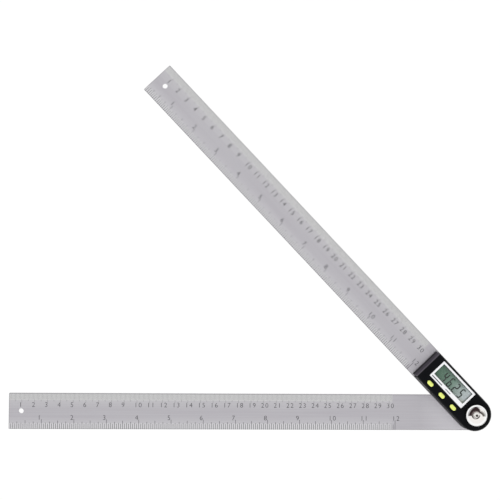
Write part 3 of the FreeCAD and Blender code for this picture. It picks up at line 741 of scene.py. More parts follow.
# %% The case cover
CASE_TOP = place_in_blade("case_cover")[1].z
COAT_STARTS = (0.15, 0.4)
COAT_WEAKENS = (0.5, 0.85)
COAT_AT_MOST = 0.6
COAT_AT_EDGE = 0.1


def case_finish():
    finish = moulded_finish("black moulded case", dark=tone(11, 12, 15), light=tone(16, 17, 20),
                            roughness=0.42, grain=6.0, specular=0.06)
    facing = finish.node("LayerWeight", output="Facing", Blend=0.5)
    coat = facing.ramp(*COAT_STARTS) * facing.ramp(*COAT_WEAKENS, COAT_AT_MOST, COAT_AT_EDGE)
    finish.varies(Coat_Weight=coat, Coat_Roughness=0.25)
    return finish


cover = rounded_copy("case_cover", "cover_shell", rounding=0.22)
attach(cover, "arm")
case_finish().dress("cover_shell")

# %% [markdown]
# ## The battery drawer
#
# The drawer closes the far end of the head with a sloped strip, in a dark grey of its own.  It
# gets rounded edges in the same way.  Its foot lies in the gap over the blade and gets painted
# shade, nearly black; its upper edge gets a painted highlight; and the narrow flat on top lies in
# the joint to the cover and gets painted shade again.  All three follow the height, so three ramps
# of the height paint them.

# %% The battery drawer
DRAWER_DARK = tone(64, 59, 68)
DRAWER_LIGHT = tone(72, 67, 76)
DRAWER_FOOT_SHADE = tone(26, 24, 29)
DRAWER_HIGHLIGHT = tone(92, 87, 96)
DRAWER_JOINT_SHADE = tone(8, 7, 10)
FOOT_SHADE_ENDS = (5.6, 7.6)
HIGHLIGHT_STARTS = (CASE_TOP - 2.2, CASE_TOP - 1.2)
JOINT_SHADE_STARTS = (CASE_TOP - 0.85, CASE_TOP - 0.72)
DRAWER_ROUGHNESS = 0.4
DRAWER_WANDER = 0.15


def drawer_finish():
    finish = Finish("dark grey drawer", Specular_IOR_Level=0.25)
    point = finish.place(ARM_TURN)
    height = finish.axes(point)[2]
    cloud = finish.noise(point, scale=0.3)
    grey = finish.blend(cloud, DRAWER_DARK, DRAWER_LIGHT)
    # Painted shade at the foot, a painted highlight along the upper edge, painted shade on the flat
    # in the joint.
    grey = finish.blend(height.ramp(*FOOT_SHADE_ENDS), DRAWER_FOOT_SHADE, grey)
    grey = finish.blend(height.ramp(*HIGHLIGHT_STARTS), grey, DRAWER_HIGHLIGHT)
    grey = finish.blend(height.ramp(*JOINT_SHADE_STARTS), grey, DRAWER_JOINT_SHADE)
    finish.varies(Base_Color=grey, Roughness=DRAWER_ROUGHNESS + DRAWER_WANDER * cloud)
    finish.relief(finish.noise(point, scale=6.0, detail=3.0), depth=0.012, strength=0.6)
    return finish


drawer = rounded_copy("battery_tray", "drawer_shell", rounding=0.18)
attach(drawer, "drawer")
drawer_finish().dress("drawer_shell")

# %% [markdown]
# ## The white frame of the display
#
# The frame is a flat moulding with one opening that isn't centred: the wide border is on the
# buttons' side.  A plane cut by four straight cuts gives the nine fields of such a frame.  The
# middle one is deleted, the rest is raised to its thickness, its corners are rounded, and a bevel
# takes the edges off.  At the pivot's end the frame stops just short of its recess in the cover,
# which leaves a fine joint line.

# %% The display frame
FRAME_CORNER = 0.8
FRAME_ROUNDING = 0.22
FRAME_SHARP_ANGLE = 40
FRAME_JOINT = 0.3
frame_low = bezel_low + Vector((FRAME_JOINT, 0, 0))
frame_high = bezel_high


def in_opening(place):
    return view_low.x < place.x < view_high.x and view_low.y < place.y < view_high.y


def at_frame_corner(place):
    return (min(place.x - frame_low.x, frame_high.x - place.x) < NEAR
            and min(place.y - frame_low.y, frame_high.y - place.y) < NEAR)


def display_frame():
    middle = (frame_low + frame_high) / 2
    size = frame_high - frame_low
    bpy.ops.mesh.primitive_plane_add(size=1, location=metres(middle.x, middle.y, frame_low.z))
    piece = bpy.context.object
    piece.name = "display_frame"
    piece.scale = (size.x * MM, size.y * MM, 1)
    apply_place(piece)
    edit(piece)
    for across in ((1, 0, 0), (0, 1, 0)):
        for corner in (view_low, view_high):
            bpy.ops.mesh.select_all(action="SELECT")
            bpy.ops.mesh.bisect(plane_co=metres(corner.x, corner.y, frame_low.z), plane_no=across)
    pick(piece, "FACE", in_opening)
    bpy.ops.mesh.delete(type="FACE")
    bpy.ops.mesh.select_all(action="SELECT")
    bpy.ops.mesh.extrude_region_move(TRANSFORM_OT_translate={"value": metres(0, 0, size.z)})
    bpy.ops.mesh.select_all(action="SELECT")
    bpy.ops.mesh.normals_make_consistent(inside=False)
    pick(piece, "EDGE", at_frame_corner)
    bpy.ops.mesh.bevel(offset=FRAME_CORNER * MM, segments=6, affect="EDGES")
    apply_modifier(piece, "BEVEL", width=FRAME_ROUNDING * MM, segments=3, limit_method="ANGLE",
                   angle_limit=math.radians(FRAME_SHARP_ANGLE))
    return settle(piece, ARM_TURN)


bezel = display_frame()
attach(bezel, "arm")
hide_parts("lcd_bezel")

# %% [markdown]
# ## The frame's white and its print
#
# The frame is glossy white.  Real ones have small words printed on the wide border; here two
# plain grey stripes hold their place.  A stripe is the product of two masks, one along the frame
# and one across it.  The outer edge is shaded, because it lies in the joint to the cover.

# %% The frame's white and its print
FRAME_WHITE = tone(253, 253, 255)
FRAME_WORN = tone(249, 249, 252)
FRAME_EDGE = tone(96, 96, 100)
PRINT_DARK = tone(92, 93, 98)
PRINT_LIGHT = tone(150, 150, 156)
PRINT_MIDDLE = bezel_high.y - 1.65
PRINT_HALF = 0.42
FIRST_PRINT_END = bezel_high.x - 1.3
FIRST_PRINT_LENGTH = 11.2
SECOND_PRINT_END = FIRST_PRINT_END - 15.2
SECOND_PRINT_LENGTH = 5.6
PRINT_BORDER_ALONG = 0.15
PRINT_BORDER_ACROSS = 0.1
JOINT_SHADE = 0.32
JOINT_FULL = 0.1
JOINT_SHARE = 0.85
FRAME_ROUGHNESS = (0.12, 0.22)


def printed(u, v, end, length):
    """One where a printed stripe lies, that runs from its end back towards the pivot."""
    along = u.between(end - length, end - PRINT_BORDER_ALONG, PRINT_BORDER_ALONG)
    across = abs(v - PRINT_MIDDLE)
    return along * across.fade(PRINT_HALF - PRINT_BORDER_ACROSS, PRINT_HALF + PRINT_BORDER_ACROSS)


def frame_finish():
    finish = Finish("white gloss frame", Specular_IOR_Level=0.5)
    point = finish.place(ARM_TURN)
    u, v, _ = finish.axes(point)
    wear = finish.noise(point, scale=0.4)
    first = printed(u, v, FIRST_PRINT_END, FIRST_PRINT_LENGTH)
    second = printed(u, v, SECOND_PRINT_END, SECOND_PRINT_LENGTH)
    white = finish.blend(wear, FRAME_WHITE, FRAME_WORN)
    white = finish.blend(first, white, PRINT_DARK)
    white = finish.blend(second, white, PRINT_LIGHT)
    middle = (bezel_low + bezel_high) / 2
    half = (bezel_high - bezel_low) / 2
    at_ends = abs(u - middle.x).ramp(half.x - JOINT_SHADE, half.x - JOINT_FULL)
    at_sides = abs(v - middle.y).ramp(half.y - JOINT_SHADE, half.y - JOINT_FULL)
    joint = at_ends.larger(at_sides) * JOINT_SHARE
    finish.varies(Base_Color=finish.blend(joint, white, FRAME_EDGE),
                  Roughness=wear.ramp(0.0, 1.0, *FRAME_ROUGHNESS))
    return finish


frame_finish().dress("display_frame")

# %% [markdown]
# ## One bar of a digit
#
# A seven-segment digit is one bar used seven times.  The bar is a hexagonal prism laid flat and
# lengthened at its points, as the segments of a real display are.  One table says where each
# segment lies, and another which segments are lit for each figure.

# %% One bar of a digit
DIGIT_PITCH = 5.96
DIGIT_WIDTH = 3.5
DIGIT_HEIGHT = 8.85
SEGMENT_WIDTH = 1.08
SEGMENT_GAP = 0.14
SEGMENT_THICKNESS = 0.03
LIT_SEGMENTS = {"0": "abcdef", "1": "bc", "2": "abged", "3": "abgcd", "4": "fgbc",
                "5": "afgcd", "6": "afgedc", "7": "abc", "8": "abcdefg", "9": "abcdfg"}
SIDE_BAR = (DIGIT_WIDTH - SEGMENT_WIDTH) / 2
TOP_BAR = (DIGIT_HEIGHT - SEGMENT_WIDTH) / 2
SEGMENT_PLACES = {"a": (0, TOP_BAR, 0), "g": (0, 0, 0), "d": (0, -TOP_BAR, 0),
                  "b": (SIDE_BAR, TOP_BAR / 2, 90), "c": (SIDE_BAR, -TOP_BAR / 2, 90),
                  "f": (-SIDE_BAR, TOP_BAR / 2, 90), "e": (-SIDE_BAR, -TOP_BAR / 2, 90)}


def bar(x, y, length, angle):
    """One lit bar, centred at x and y on the display, in millimetres."""
    bpy.ops.mesh.primitive_cylinder_add(vertices=6, radius=SEGMENT_WIDTH / 2 * MM,
                                        depth=SEGMENT_THICKNESS * MM)
    piece = bpy.context.object
    edit(piece)
    bpy.ops.transform.rotate(value=math.pi / 6, orient_axis="Z", center_override=(0, 0, 0))
    stretch = (length - SEGMENT_WIDTH) / 2
    for side in (-1, 1):
        pick(piece, "VERT", lambda place: place.x * side > NEAR)
        bpy.ops.transform.translate(value=metres(side * stretch, 0, 0))
    bpy.ops.object.mode_set(mode="OBJECT")
    piece.rotation_euler.z = math.radians(angle)
    piece.location = metres(x, y, 0)
    return piece


# %% [markdown]
# ## The reading
#
# The bars of all four figures and the point are joined to one piece.  It leans to the right, as
# such digits do: each vertex moves sideways by a share of its height.  The reading runs from the
# free end towards the pivot, so the piece is turned half round, and it lies in the narrow gap
# between panel and window.

# %% The reading
DIGIT_LEAN = 0.07
FIRST_DIGIT = -7.82
DIGIT_DROP = 0.77
POINT_LENGTH = SEGMENT_WIDTH * 1.02
DIGIT_DARK = tone(2, 14, 9)
DIGIT_LIGHT = tone(7, 22, 16)


def reading_digits(text):
    bars = []
    x = FIRST_DIGIT
    for figure in text:
        if figure == ".":
            bars.append(bar(x - DIGIT_PITCH / 2, -TOP_BAR, POINT_LENGTH, 0))
            continue
        for segment in LIT_SEGMENTS[figure]:
            dx, dy, angle = SEGMENT_PLACES[segment]
            length = (TOP_BAR if angle else 2 * SIDE_BAR) - SEGMENT_GAP
            bars.append(bar(x + dx, dy, length, angle))
        x += DIGIT_PITCH
    piece = joined("lcd_digits", *bars)
    for vertex in piece.data.vertices:
        vertex.co.x += DIGIT_LEAN * vertex.co.y
    middle = (view_low + view_high) / 2
    panel_top = place_in_blade("lcd_panel")[1].z
    window_bottom = place_in_blade("lcd_window")[0].z
    piece.rotation_euler.z = math.pi
    piece.location = metres(middle.x, middle.y + DIGIT_DROP, (panel_top + window_bottom) / 2)
    return settle(piece, ARM_TURN)


digits = reading_digits(f"{READING:.2f}")
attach(digits, "arm")

crystal = Finish("lit liquid crystal", Specular_IOR_Level=0.2, Roughness=0.4)
crystal_cloud = crystal.noise(crystal.place(ARM_TURN), scale=0.5)
crystal.varies(Base_Color=crystal.blend(crystal_cloud, DIGIT_DARK, DIGIT_LIGHT))
crystal.dress("lcd_digits")

# %% [markdown]
# ## A lathe for round pieces
#
# Knob, screw, buttons and battery are all turned or close to it.  A lathe in mesh terms is a ring
# of edges that is extruded from one radius and height to the next, and `lathe` does just that.
# `arc` gives the points of a rounded stretch and `dome` those of a flattened top, so that a
# profile is written as the turner would draw it.

# %% The lathe
def arc(radius, height, size, start, end, steps=5):
    """Points on a circle of the given size about (radius, height), from one angle to another."""
    turns = [math.radians(start + (end - start) * i / steps) for i in range(steps + 1)]
    return [(radius + size * math.cos(turn), height + size * math.sin(turn)) for turn in turns]


def dome(radius, foot, rise, angles):
    """Points of an arc that is flattened to the rise, at some angles up from its side."""
    turns = [math.radians(angle) for angle in angles]
    return [(radius * math.cos(turn), foot + rise * math.sin(turn)) for turn in turns]


def lathe(name, profile, steps, hollow=False):
    """Extrudes a ring of edges along a profile of (radius, height) in millimetres."""
    radius, height = profile[0]
    bpy.ops.mesh.primitive_circle_add(vertices=steps, radius=radius * MM,
                                      location=metres(0, 0, height))
    piece = bpy.context.object
    piece.name = name
    apply_place(piece)
    edit(piece)
    for next_radius, next_height in profile[1:]:
        rise = metres(0, 0, next_height - height)
        bpy.ops.mesh.extrude_region_move(TRANSFORM_OT_translate={"value": rise})
        share = next_radius / radius
        bpy.ops.transform.resize(value=(share, share, 1), center_override=(0, 0, 0))
        radius, height = next_radius, next_height
    bpy.ops.mesh.select_mode(type="VERT")
    if not hollow:
        bpy.ops.mesh.edge_face_add()
    bpy.ops.mesh.select_all(action="DESELECT")
    bpy.ops.mesh.select_non_manifold()
    if hollow:
        bpy.ops.mesh.bridge_edge_loops()
    else:
        bpy.ops.mesh.edge_face_add()
    bpy.ops.mesh.select_all(action="SELECT")
    bpy.ops.mesh.normals_make_consistent(inside=False)
    bpy.ops.object.mode_set(mode="OBJECT")
    return piece


# %% [markdown]
# ## The lock knob
#
# The knob is a chromed dish with a bright rounded rim, a coin edge to grip and a small collar
# round the screw.  The rim catches the whole room in one line of light, so its roundings matter
# more than anything else on it.  The dish is steeper by the rim than by the collar: its slope
# changes evenly from one to the other, which mirrors the room in one clean sweep.

# %% The knob's sizes
knob_low, knob_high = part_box("lock_knob")
KNOB_RADIUS = knob_high.x / MM
KNOB_TOP = knob_high.z / MM
KNOB_UNDERSIDE = KNOB_TOP - 4.2
RIM_ROUNDING = 0.55
RIM_INNER = KNOB_RADIUS - 1.1
WALL_TOP = KNOB_TOP - RIM_ROUNDING
CHAMFER_WIDTH = 0.35
CHAMFER_HEIGHT = 0.2
NECK_BOTTOM = knob_low.z / MM
NECK_RADIUS = 3.05
STUD_BORE = 2.05
COLLAR_OUTER = 2.9
COLLAR_INNER = 2.6
COLLAR_TOP = KNOB_TOP - 0.6
COLLAR_ROUNDING = 0.14
COLLAR_OUTER_EDGE = COLLAR_TOP - 0.15
COLLAR_INNER_EDGE = COLLAR_TOP - 0.2
SCREW_SEAT = KNOB_TOP - 1.7
DISH_ANGLE = 28
DISH_INNER_ANGLE = 13
DISH_LIP = 0.8
DISH_STEPS = 16
print("knob:", round(2 * KNOB_RADIUS, 2), "mm across, top at", round(KNOB_TOP, 2), "mm")

# %% [markdown]
# ## The knob's profile
#
# The profile starts at the bore, runs out along the underside and up the wall, and comes back over
# the rim and down the dish to the collar and the seat of the screw.  The ring has as many steps as
# the coin edge needs.

# %% The knob's profile
GRIP_STEPS = 150
DISH_SLOPE_OUTER = math.tan(math.radians(DISH_ANGLE))
DISH_SLOPE_INNER = math.tan(math.radians(DISH_INNER_ANGLE))


def dish_points():
    """The dish from its lip down to the collar, with an evenly changing slope."""
    outer = RIM_INNER - DISH_LIP * math.sin(math.radians(DISH_ANGLE))
    top = KNOB_TOP - DISH_LIP * (1 - math.cos(math.radians(DISH_ANGLE)))
    width = outer - COLLAR_OUTER
    points = []
    for step in range(1, DISH_STEPS + 1):
        share = step / DISH_STEPS
        drop = DISH_SLOPE_OUTER * share + (DISH_SLOPE_INNER - DISH_SLOPE_OUTER) * share ** 2 / 2
        points.append((outer - width * share, top - width * drop))
    return points


def knob_profile():
    collar_middle = (COLLAR_OUTER + COLLAR_INNER) / 2
    return [
        (STUD_BORE, NECK_BOTTOM), (NECK_RADIUS, NECK_BOTTOM), (NECK_RADIUS, KNOB_UNDERSIDE),
        (KNOB_RADIUS - CHAMFER_WIDTH, KNOB_UNDERSIDE),
        (KNOB_RADIUS, KNOB_UNDERSIDE + CHAMFER_HEIGHT),
        *arc(KNOB_RADIUS - RIM_ROUNDING, WALL_TOP, RIM_ROUNDING, 0, 90, steps=7),
        *arc(RIM_INNER, KNOB_TOP - DISH_LIP, DISH_LIP, 90, 90 + DISH_ANGLE, steps=4),
        *dish_points(),
        (COLLAR_OUTER, COLLAR_OUTER_EDGE),
        *arc(collar_middle, COLLAR_TOP - COLLAR_ROUNDING, COLLAR_ROUNDING, 30, 150, steps=4),
        (COLLAR_INNER, COLLAR_INNER_EDGE), (COLLAR_INNER, SCREW_SEAT), (STUD_BORE, SCREW_SEAT),
    ]


knob = lathe("chrome_knob", knob_profile(), GRIP_STEPS, hollow=True)

# %% [markdown]
# ## The coin edge
#
# The wall is grooved like the edge of a coin: every fifth column of vertices on it is pressed in.
# A resize about the pivot does that for all the grooves at once.

# %% The coin edge
GRIP_EVERY = 5
GRIP_DEPTH = 0.22


def is_groove(place):
    column = round(math.atan2(place.y, place.x) / (2 * math.pi) * GRIP_STEPS)
    on_wall = math.hypot(place.x, place.y) > KNOB_RADIUS - NEAR and place.z < WALL_TOP + NEAR
    return on_wall and column % GRIP_EVERY == 0


edit(knob)
pick(knob, "VERT", is_groove)
pressed = 1 - GRIP_DEPTH / KNOB_RADIUS
bpy.ops.transform.resize(value=(pressed, pressed, 1), center_override=(0, 0, 0))
settle(knob)
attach(knob, "knob")
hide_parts("lock_knob")

# %% [markdown]
# ## The chrome
#
# Chrome is nearly all reflection.  The rim is painted as its brightest place and the dish a touch
# duller and warmer, a painted reflection of how each mirrors the room, and hardly any light gets to
# the wall of the collar, so that is painted dark.

# %% The chrome
CHROME = (0.93, 0.92, 0.92, 1.0)
CHROME_RIM_LIT = (0.95, 0.95, 0.95, 1.0)
CHROME_DISH_SHADED = (0.88, 0.85, 0.83, 1.0)
CHROME_SHADE = (0.16, 0.13, 0.13, 1.0)
DISH_ENDS = (KNOB_TOP - 0.5, KNOB_TOP - 0.2)
SHADE_ENDS = (0.02, 0.12)
SHADE_TOP = COLLAR_TOP - 0.1


def chrome_finish():
    finish = plated_finish("polished chrome", CHROME, roughness=0.05, scratch_roughness=0.04)
    x, y, height = finish.axes(finish.place())
    # Painted reflection: the rim lighter than the dish, the dish duller and warmer.
    plated = finish.blend(height.fade(*DISH_ENDS), CHROME_RIM_LIT, CHROME_DISH_SHADED)
    from_wall = abs((x * x + y * y) ** 0.5 - COLLAR_OUTER)
    by_collar = from_wall.fade(*SHADE_ENDS) * (height < SHADE_TOP)
    finish.varies(Base_Color=finish.blend(by_collar, plated, CHROME_SHADE))
    return finish


chrome_finish().dress("chrome_knob")

# %% [markdown]
# ## The screw in the middle
#
# The screw holds the knob on its stud and stops it at the end of its travel.  Its head is a low
# dome with a hexagon socket.  The dome is turned on the lathe, and a hexagonal bar is cut out of
# it with a boolean, which leaves the socket's crisp edge.

# %% The screw
screw_low, screw_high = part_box("knob_screw")
SCREW_RADIUS = screw_high.x / MM
SCREW_TOP = screw_high.z / MM
SCREW_BOTTOM = screw_low.z / MM
SCREW_UNDER_HEAD = SCREW_TOP - 0.9
SCREW_DOME = 0.5
HEAD_CHAMFER = 0.1
SHANK_RADIUS = 1.0
TIP_RADIUS = 0.7
TIP_LENGTH = 0.3
SOCKET_ACROSS = 1.9
SOCKET_RADIUS = SOCKET_ACROSS / 2 / math.cos(math.pi / 6)
SOCKET_DEPTH = 0.6


def centre_screw():
    profile = [(TIP_RADIUS, SCREW_BOTTOM), (SHANK_RADIUS, SCREW_BOTTOM + TIP_LENGTH),
               (SHANK_RADIUS, SCREW_UNDER_HEAD), (SCREW_RADIUS - HEAD_CHAMFER, SCREW_UNDER_HEAD),
               (SCREW_RADIUS, SCREW_UNDER_HEAD + HEAD_CHAMFER),
               *dome(SCREW_RADIUS, SCREW_TOP - SCREW_DOME, SCREW_DOME, range(0, 90, 10))]
    piece = lathe("centre_screw", profile, steps=60)
    bpy.ops.mesh.primitive_cylinder_add(vertices=6, radius=SOCKET_RADIUS * MM,
                                        depth=2 * SOCKET_DEPTH * MM,
                                        location=metres(0, 0, SCREW_TOP))
    cut_out(piece, bpy.context.object)
    return settle(piece)


screw = centre_screw()
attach(screw, "base")
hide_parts("knob_screw")

# %% [markdown]
# ## The screw's finish
#
# The head is as bright as the knob round it.  Hardly any light gets down into the socket, so two
# masks, of the radius and of the height, paint it dark.

# %% The screw's finish
SCREW_BRIGHT = tone(232, 229, 226)
SOCKET_DARK = tone(60, 54, 50)
SOCKET_SHADE_RADIUS = SOCKET_RADIUS + 0.05
SOCKET_SHADE_TOP = SCREW_TOP - 0.15


def centre_screw_finish():
    finish = plated_finish("bright screw", SCREW_BRIGHT, roughness=0.1)
    x, y, height = finish.axes(finish.place())
    in_socket = ((x * x + y * y) ** 0.5 < SOCKET_SHADE_RADIUS) * (height < SOCKET_SHADE_TOP)
    finish.varies(Base_Color=finish.blend(in_socket, SCREW_BRIGHT, SOCKET_DARK))
    return finish


centre_screw_finish().dress("centre_screw")

# %% [markdown]
# ## The screws of the cover
#
# Two countersunk screws hold the cover from below, flush with the arm.  A countersunk screw is one
# lathe profile with a cone under its head.  Its cross recess is cut with two crossed bars, and
# one function makes both screws.

# %% The cover's screws
cover_screw_low, cover_screw_high = place_in_blade("case_screws")
COUNTERSINK_RADIUS = 1.5
COUNTERSINK_DEPTH = 0.8
COUNTERSINK_EDGE = 0.05
THREAD_RADIUS = 0.8
THREAD_TIP_RADIUS = 0.48
THREAD_TIP_LENGTH = 0.4
RECESS_LENGTH = 1.9
RECESS_WIDTH = 0.4
RECESS_DEPTH = 0.5


def cover_screw(v):
    """One countersunk screw with a cross recess, at a place across the arm."""
    low = cover_screw_low.z
    high = cover_screw_high.z
    profile = [(COUNTERSINK_RADIUS - COUNTERSINK_EDGE, low),
               (COUNTERSINK_RADIUS, low + COUNTERSINK_EDGE),
               (THREAD_RADIUS, low + COUNTERSINK_DEPTH),
               (THREAD_RADIUS, high - THREAD_TIP_LENGTH), (THREAD_TIP_RADIUS, high)]
    piece = lathe("cover_screw", profile, steps=40)
    for length, width in ((RECESS_LENGTH, RECESS_WIDTH), (RECESS_WIDTH, RECESS_LENGTH)):
        bpy.ops.mesh.primitive_cube_add(size=MM, location=metres(0, 0, low))
        cutter = bpy.context.object
        cutter.scale = (length, width, 2 * RECESS_DEPTH)
        cut_out(piece, cutter)
    piece.location = metres((cover_screw_low.x + cover_screw_high.x) / 2, v, 0)
    return piece


nearer = cover_screw(cover_screw_low.y + COUNTERSINK_RADIUS)
farther = cover_screw(cover_screw_high.y - COUNTERSINK_RADIUS)
cover_screws = settle(joined("cover_screws", nearer, farther), ARM_TURN)
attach(cover_screws, "arm")
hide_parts("case_screws")
screw_steel.dress("cover_screws")

# %% [markdown]
# ## The spring under the knob
#
# A wave washer is a flat ring pressed into three gentle waves, and its spring keeps a light
# friction on the knob.  It is turned flat and thin, and then each vertex is lifted by the sine of
# three times its bearing.

# %% The wave washer
wave_low, wave_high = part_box("wave_washer")
WAVES = 3
STRIP_THICKNESS = 0.2
STRIP_WIDTH = 3.0


def wave_spring():
    outer = wave_high.x / MM
    inner = outer - STRIP_WIDTH
    low = wave_low.z / MM
    high = wave_high.z / MM
    bottom = (low + high - STRIP_THICKNESS) / 2
    top = bottom + STRIP_THICKNESS
    profile = [(inner, bottom), (outer, bottom), (outer, top), (inner, top)]
    piece = lathe("wave_spring", profile, steps=96, hollow=True)
    swing = (high - low - STRIP_THICKNESS) / 2
    for vertex in piece.data.vertices:
        vertex.co.z += swing * MM * math.sin(WAVES * math.atan2(vertex.co.y, vertex.co.x))
    return settle(piece)


spring = wave_spring()
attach(spring, "washer")
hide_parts("wave_washer")
plated_finish("bright spring strip", tone(196, 196, 198), roughness=0.2).dress("wave_spring")

# %% [markdown]
# ## Three buttons
#
# The buttons are soft yellow-green ovals with a domed top.  One function turns a round button on
# the lathe and then draws it out to an oval.  It runs three times, because each button rides on a
# key of its own and needs its own mesh.

# %% The buttons' shape
button_low, button_high = place_in_blade("zero_button")
HIDDEN_RIM = 1.0
CLEAR_ENDS = 0.1
CLEAR_SIDES = 0.3
CROWN_LENGTH = button_high.x - button_low.x - 2 * HIDDEN_RIM - CLEAR_ENDS
CROWN_WIDTH = button_high.y - button_low.y - 2 * HIDDEN_RIM - CLEAR_SIDES
CROWN_EDGE = 0.4
CROWN_DOME = 0.12
BUTTON_TOP = button_high.z
BUTTON_STEPS = 56
RIM_RADIUS = (button_high.y - button_low.y) / 2
RIM_TOP = CASE_TOP - 1.3
RIM_BOTTOM = RIM_TOP - 0.6
STEM_RADIUS = 0.8


def button_profile():
    """Round profile of a button: stem, hidden rim, and a crown that domes over the case."""
    crown = CROWN_WIDTH / 2
    flat = crown - CROWN_EDGE
    shoulder = BUTTON_TOP - CROWN_DOME
    return [(STEM_RADIUS, button_low.z), (STEM_RADIUS, RIM_BOTTOM), (RIM_RADIUS, RIM_BOTTOM),
            (RIM_RADIUS, RIM_TOP), (crown, RIM_TOP),
            *arc(flat, shoulder - CROWN_EDGE, CROWN_EDGE, 0, 90),
            *dome(flat, shoulder, CROWN_DOME, range(15, 90, 15))]


def make_button(name, node):
    low, high = place_in_blade(node)
    middle = (low + high) / 2
    piece = lathe(name, button_profile(), BUTTON_STEPS)
    edit(piece)
    half_step = math.pi / BUTTON_STEPS
    bpy.ops.transform.rotate(value=half_step, orient_axis="Z", center_override=(0, 0, 0))
    for side in (-1, 1):
        pick(piece, "VERT", lambda place: place.x * side > 0)
        bpy.ops.transform.translate(value=metres(side * (CROWN_LENGTH - CROWN_WIDTH) / 2, 0, 0))
    bpy.ops.object.mode_set(mode="OBJECT")
    piece.location = metres(middle.x, middle.y, 0)
    return settle(piece, ARM_TURN, smooth_below=50)


print("crown of a button:", round(CROWN_LENGTH, 2), "by", round(CROWN_WIDTH, 2), "mm")

# %% [markdown]
# ## The buttons' plastic
#
# The plastic has a faint grain, and fingers polish it unevenly, which a slow noise gives to its
# colour and roughness.  The foot of the crown stands in the gap of the case, where hardly any
# light gets, so it is painted darker down there.

# %% The buttons
CROWN_GREEN = tone(240, 250, 140)
CROWN_WORN = tone(232, 244, 122)
GAP_GREEN = tone(104, 112, 30)
GAP_SHADE = (CASE_TOP + 0.1, BUTTON_TOP - 0.18)
CROWN_ROUGHNESS = (0.22, 0.34)


def button_finish():
    finish = Finish("yellow-green button", Specular_IOR_Level=0.5)
    point = finish.place(ARM_TURN)
    worn = finish.noise(point, scale=0.8)
    crown = finish.blend(worn, CROWN_GREEN, CROWN_WORN)
    in_gap = finish.axes(point)[2].fade(*GAP_SHADE)
    finish.varies(Base_Color=finish.blend(in_gap, crown, GAP_GREEN),
                  Roughness=worn.ramp(0.0, 1.0, *CROWN_ROUGHNESS))
    finish.relief(finish.noise(point, scale=8.0), depth=0.004, strength=0.4)
    return finish


button_green = button_finish()
for function in ("power", "zero", "hold"):
    button = make_button(function + "_cap", function + "_button")
    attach(button, function + "_key")
    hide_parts(function + "_button")
    button_green.dress(button.name)

# %% [markdown]
# ## The battery
#
# A coin cell is a nickel plated can with a smaller pole inside a dark seal ring.  It shows only
# when the drawer is out, but then it is the first thing one sees.  Can and pole are turned in one
# profile, with a groove between them for the seal.

# %% The coin cell
cell_low, cell_high = place_in_blade("coin_cell")
CELL_RADIUS = (cell_high.x - cell_low.x) / 2
AXIS = 0.02
POLE_RADIUS = 8.6
POLE_CHAMFER = 0.3
POLE_BOTTOM = cell_low.z + 0.1
POLE_EDGE = cell_low.z + 0.25
SEAL_RADIUS = POLE_RADIUS + 0.5
SEAL_BOTTOM = cell_low.z + 0.3
CAN_FOOT = 0.35
CAN_SHOULDER = 0.3
STEP_OUTER = CELL_RADIUS - 1.2
STEP_INNER = CELL_RADIUS - 1.3
STEP_BOTTOM = cell_high.z - 0.05


def battery():
    profile = [(AXIS, POLE_BOTTOM), (POLE_RADIUS - POLE_CHAMFER, POLE_BOTTOM),
               (POLE_RADIUS, POLE_EDGE), (SEAL_RADIUS, SEAL_BOTTOM),
               *arc(CELL_RADIUS - CAN_FOOT, cell_low.z + CAN_FOOT, CAN_FOOT, -90, 0, steps=4),
               *arc(CELL_RADIUS - CAN_SHOULDER, cell_high.z - CAN_SHOULDER, CAN_SHOULDER, 0, 90,
                    steps=4),
               (STEP_OUTER, cell_high.z), (STEP_INNER, STEP_BOTTOM), (AXIS, STEP_BOTTOM)]
    piece = lathe("battery_can", profile, steps=96)
    middle = (cell_low + cell_high) / 2
    piece.location = metres(middle.x, middle.y, 0)
    return settle(piece, ARM_TURN)


can = battery()
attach(can, "drawer")
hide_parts("coin_cell")
plated_finish("nickel plated can", tone(214, 214, 212), roughness=0.2).dress("battery_can")

# %% [markdown]
# ## The scales
#
# Each blade has millimetres along one edge and sixteenths of an inch along the other.  One tick is
# a thin black bar, and an array repeats it at its pitch.  The longer ticks are made by taking the
# inner ends of every second, fourth or fifth one and so on, and drawing them out.

# %% Ticks
TICK_THICKNESS = 0.03
TICK_RISE = 0.012
INCH = 25.4


def tick_row(name, pitch, count, width, length, side, longer):
    """Ticks along one edge: side -1 or 1, and longer as {every how many: total length}."""
    middle = side * (BLADE_HALF - length / 2)
    bpy.ops.mesh.primitive_cube_add(size=1)
    piece = bpy.context.object
    piece.name = name
    piece.scale = metres(width, length, TICK_THICKNESS)
    piece.location = metres(BLADE_LENGTH - pitch, middle, 0)
    apply_place(piece)
    apply_modifier(piece, "ARRAY", count=count, use_relative_offset=False,
                   use_constant_offset=True, constant_offset_displace=metres(-pitch, 0, 0))
    edit(piece)
    for every, total in sorted(longer.items()):
        inner_end = BLADE_HALF - length + NEAR

        def ends_here(place):
            tick = round((BLADE_LENGTH - place.x) / pitch)
            return side * place.y < inner_end and tick % every == 0

        pick(piece, "VERT", ends_here)
        bpy.ops.transform.translate(value=metres(0, -side * (total - length), 0))
        length = total
    bpy.ops.object.mode_set(mode="OBJECT")
    print(name, count, "ticks")
    return piece


mm_ticks = tick_row("mm_ticks", pitch=1.0, count=MM_TICKS, width=0.13, length=5.0, side=-1,
                    longer={5: 6.4, 10: 7.4})
inch_ticks = tick_row("inch_ticks", pitch=INCH / 16, count=192, width=0.32, length=4.2, side=1,
                      longer={2: 4.9, 4: 5.7, 8: 6.6, 16: 7.6})

# %% [markdown]
# ## Numbers
#
# The numbers are text in the built-in font, turned to meshes.  Read from the free end, a number of
# one digit stands just before its tick, and one of two digits stands across it.

# %% Numbers
NUMERAL_HEIGHT = 3.75
FONT_HEIGHT_SHARE = 0.7
FIGURE_SPACING = 1.25
STROKE_THINNING = 0.06


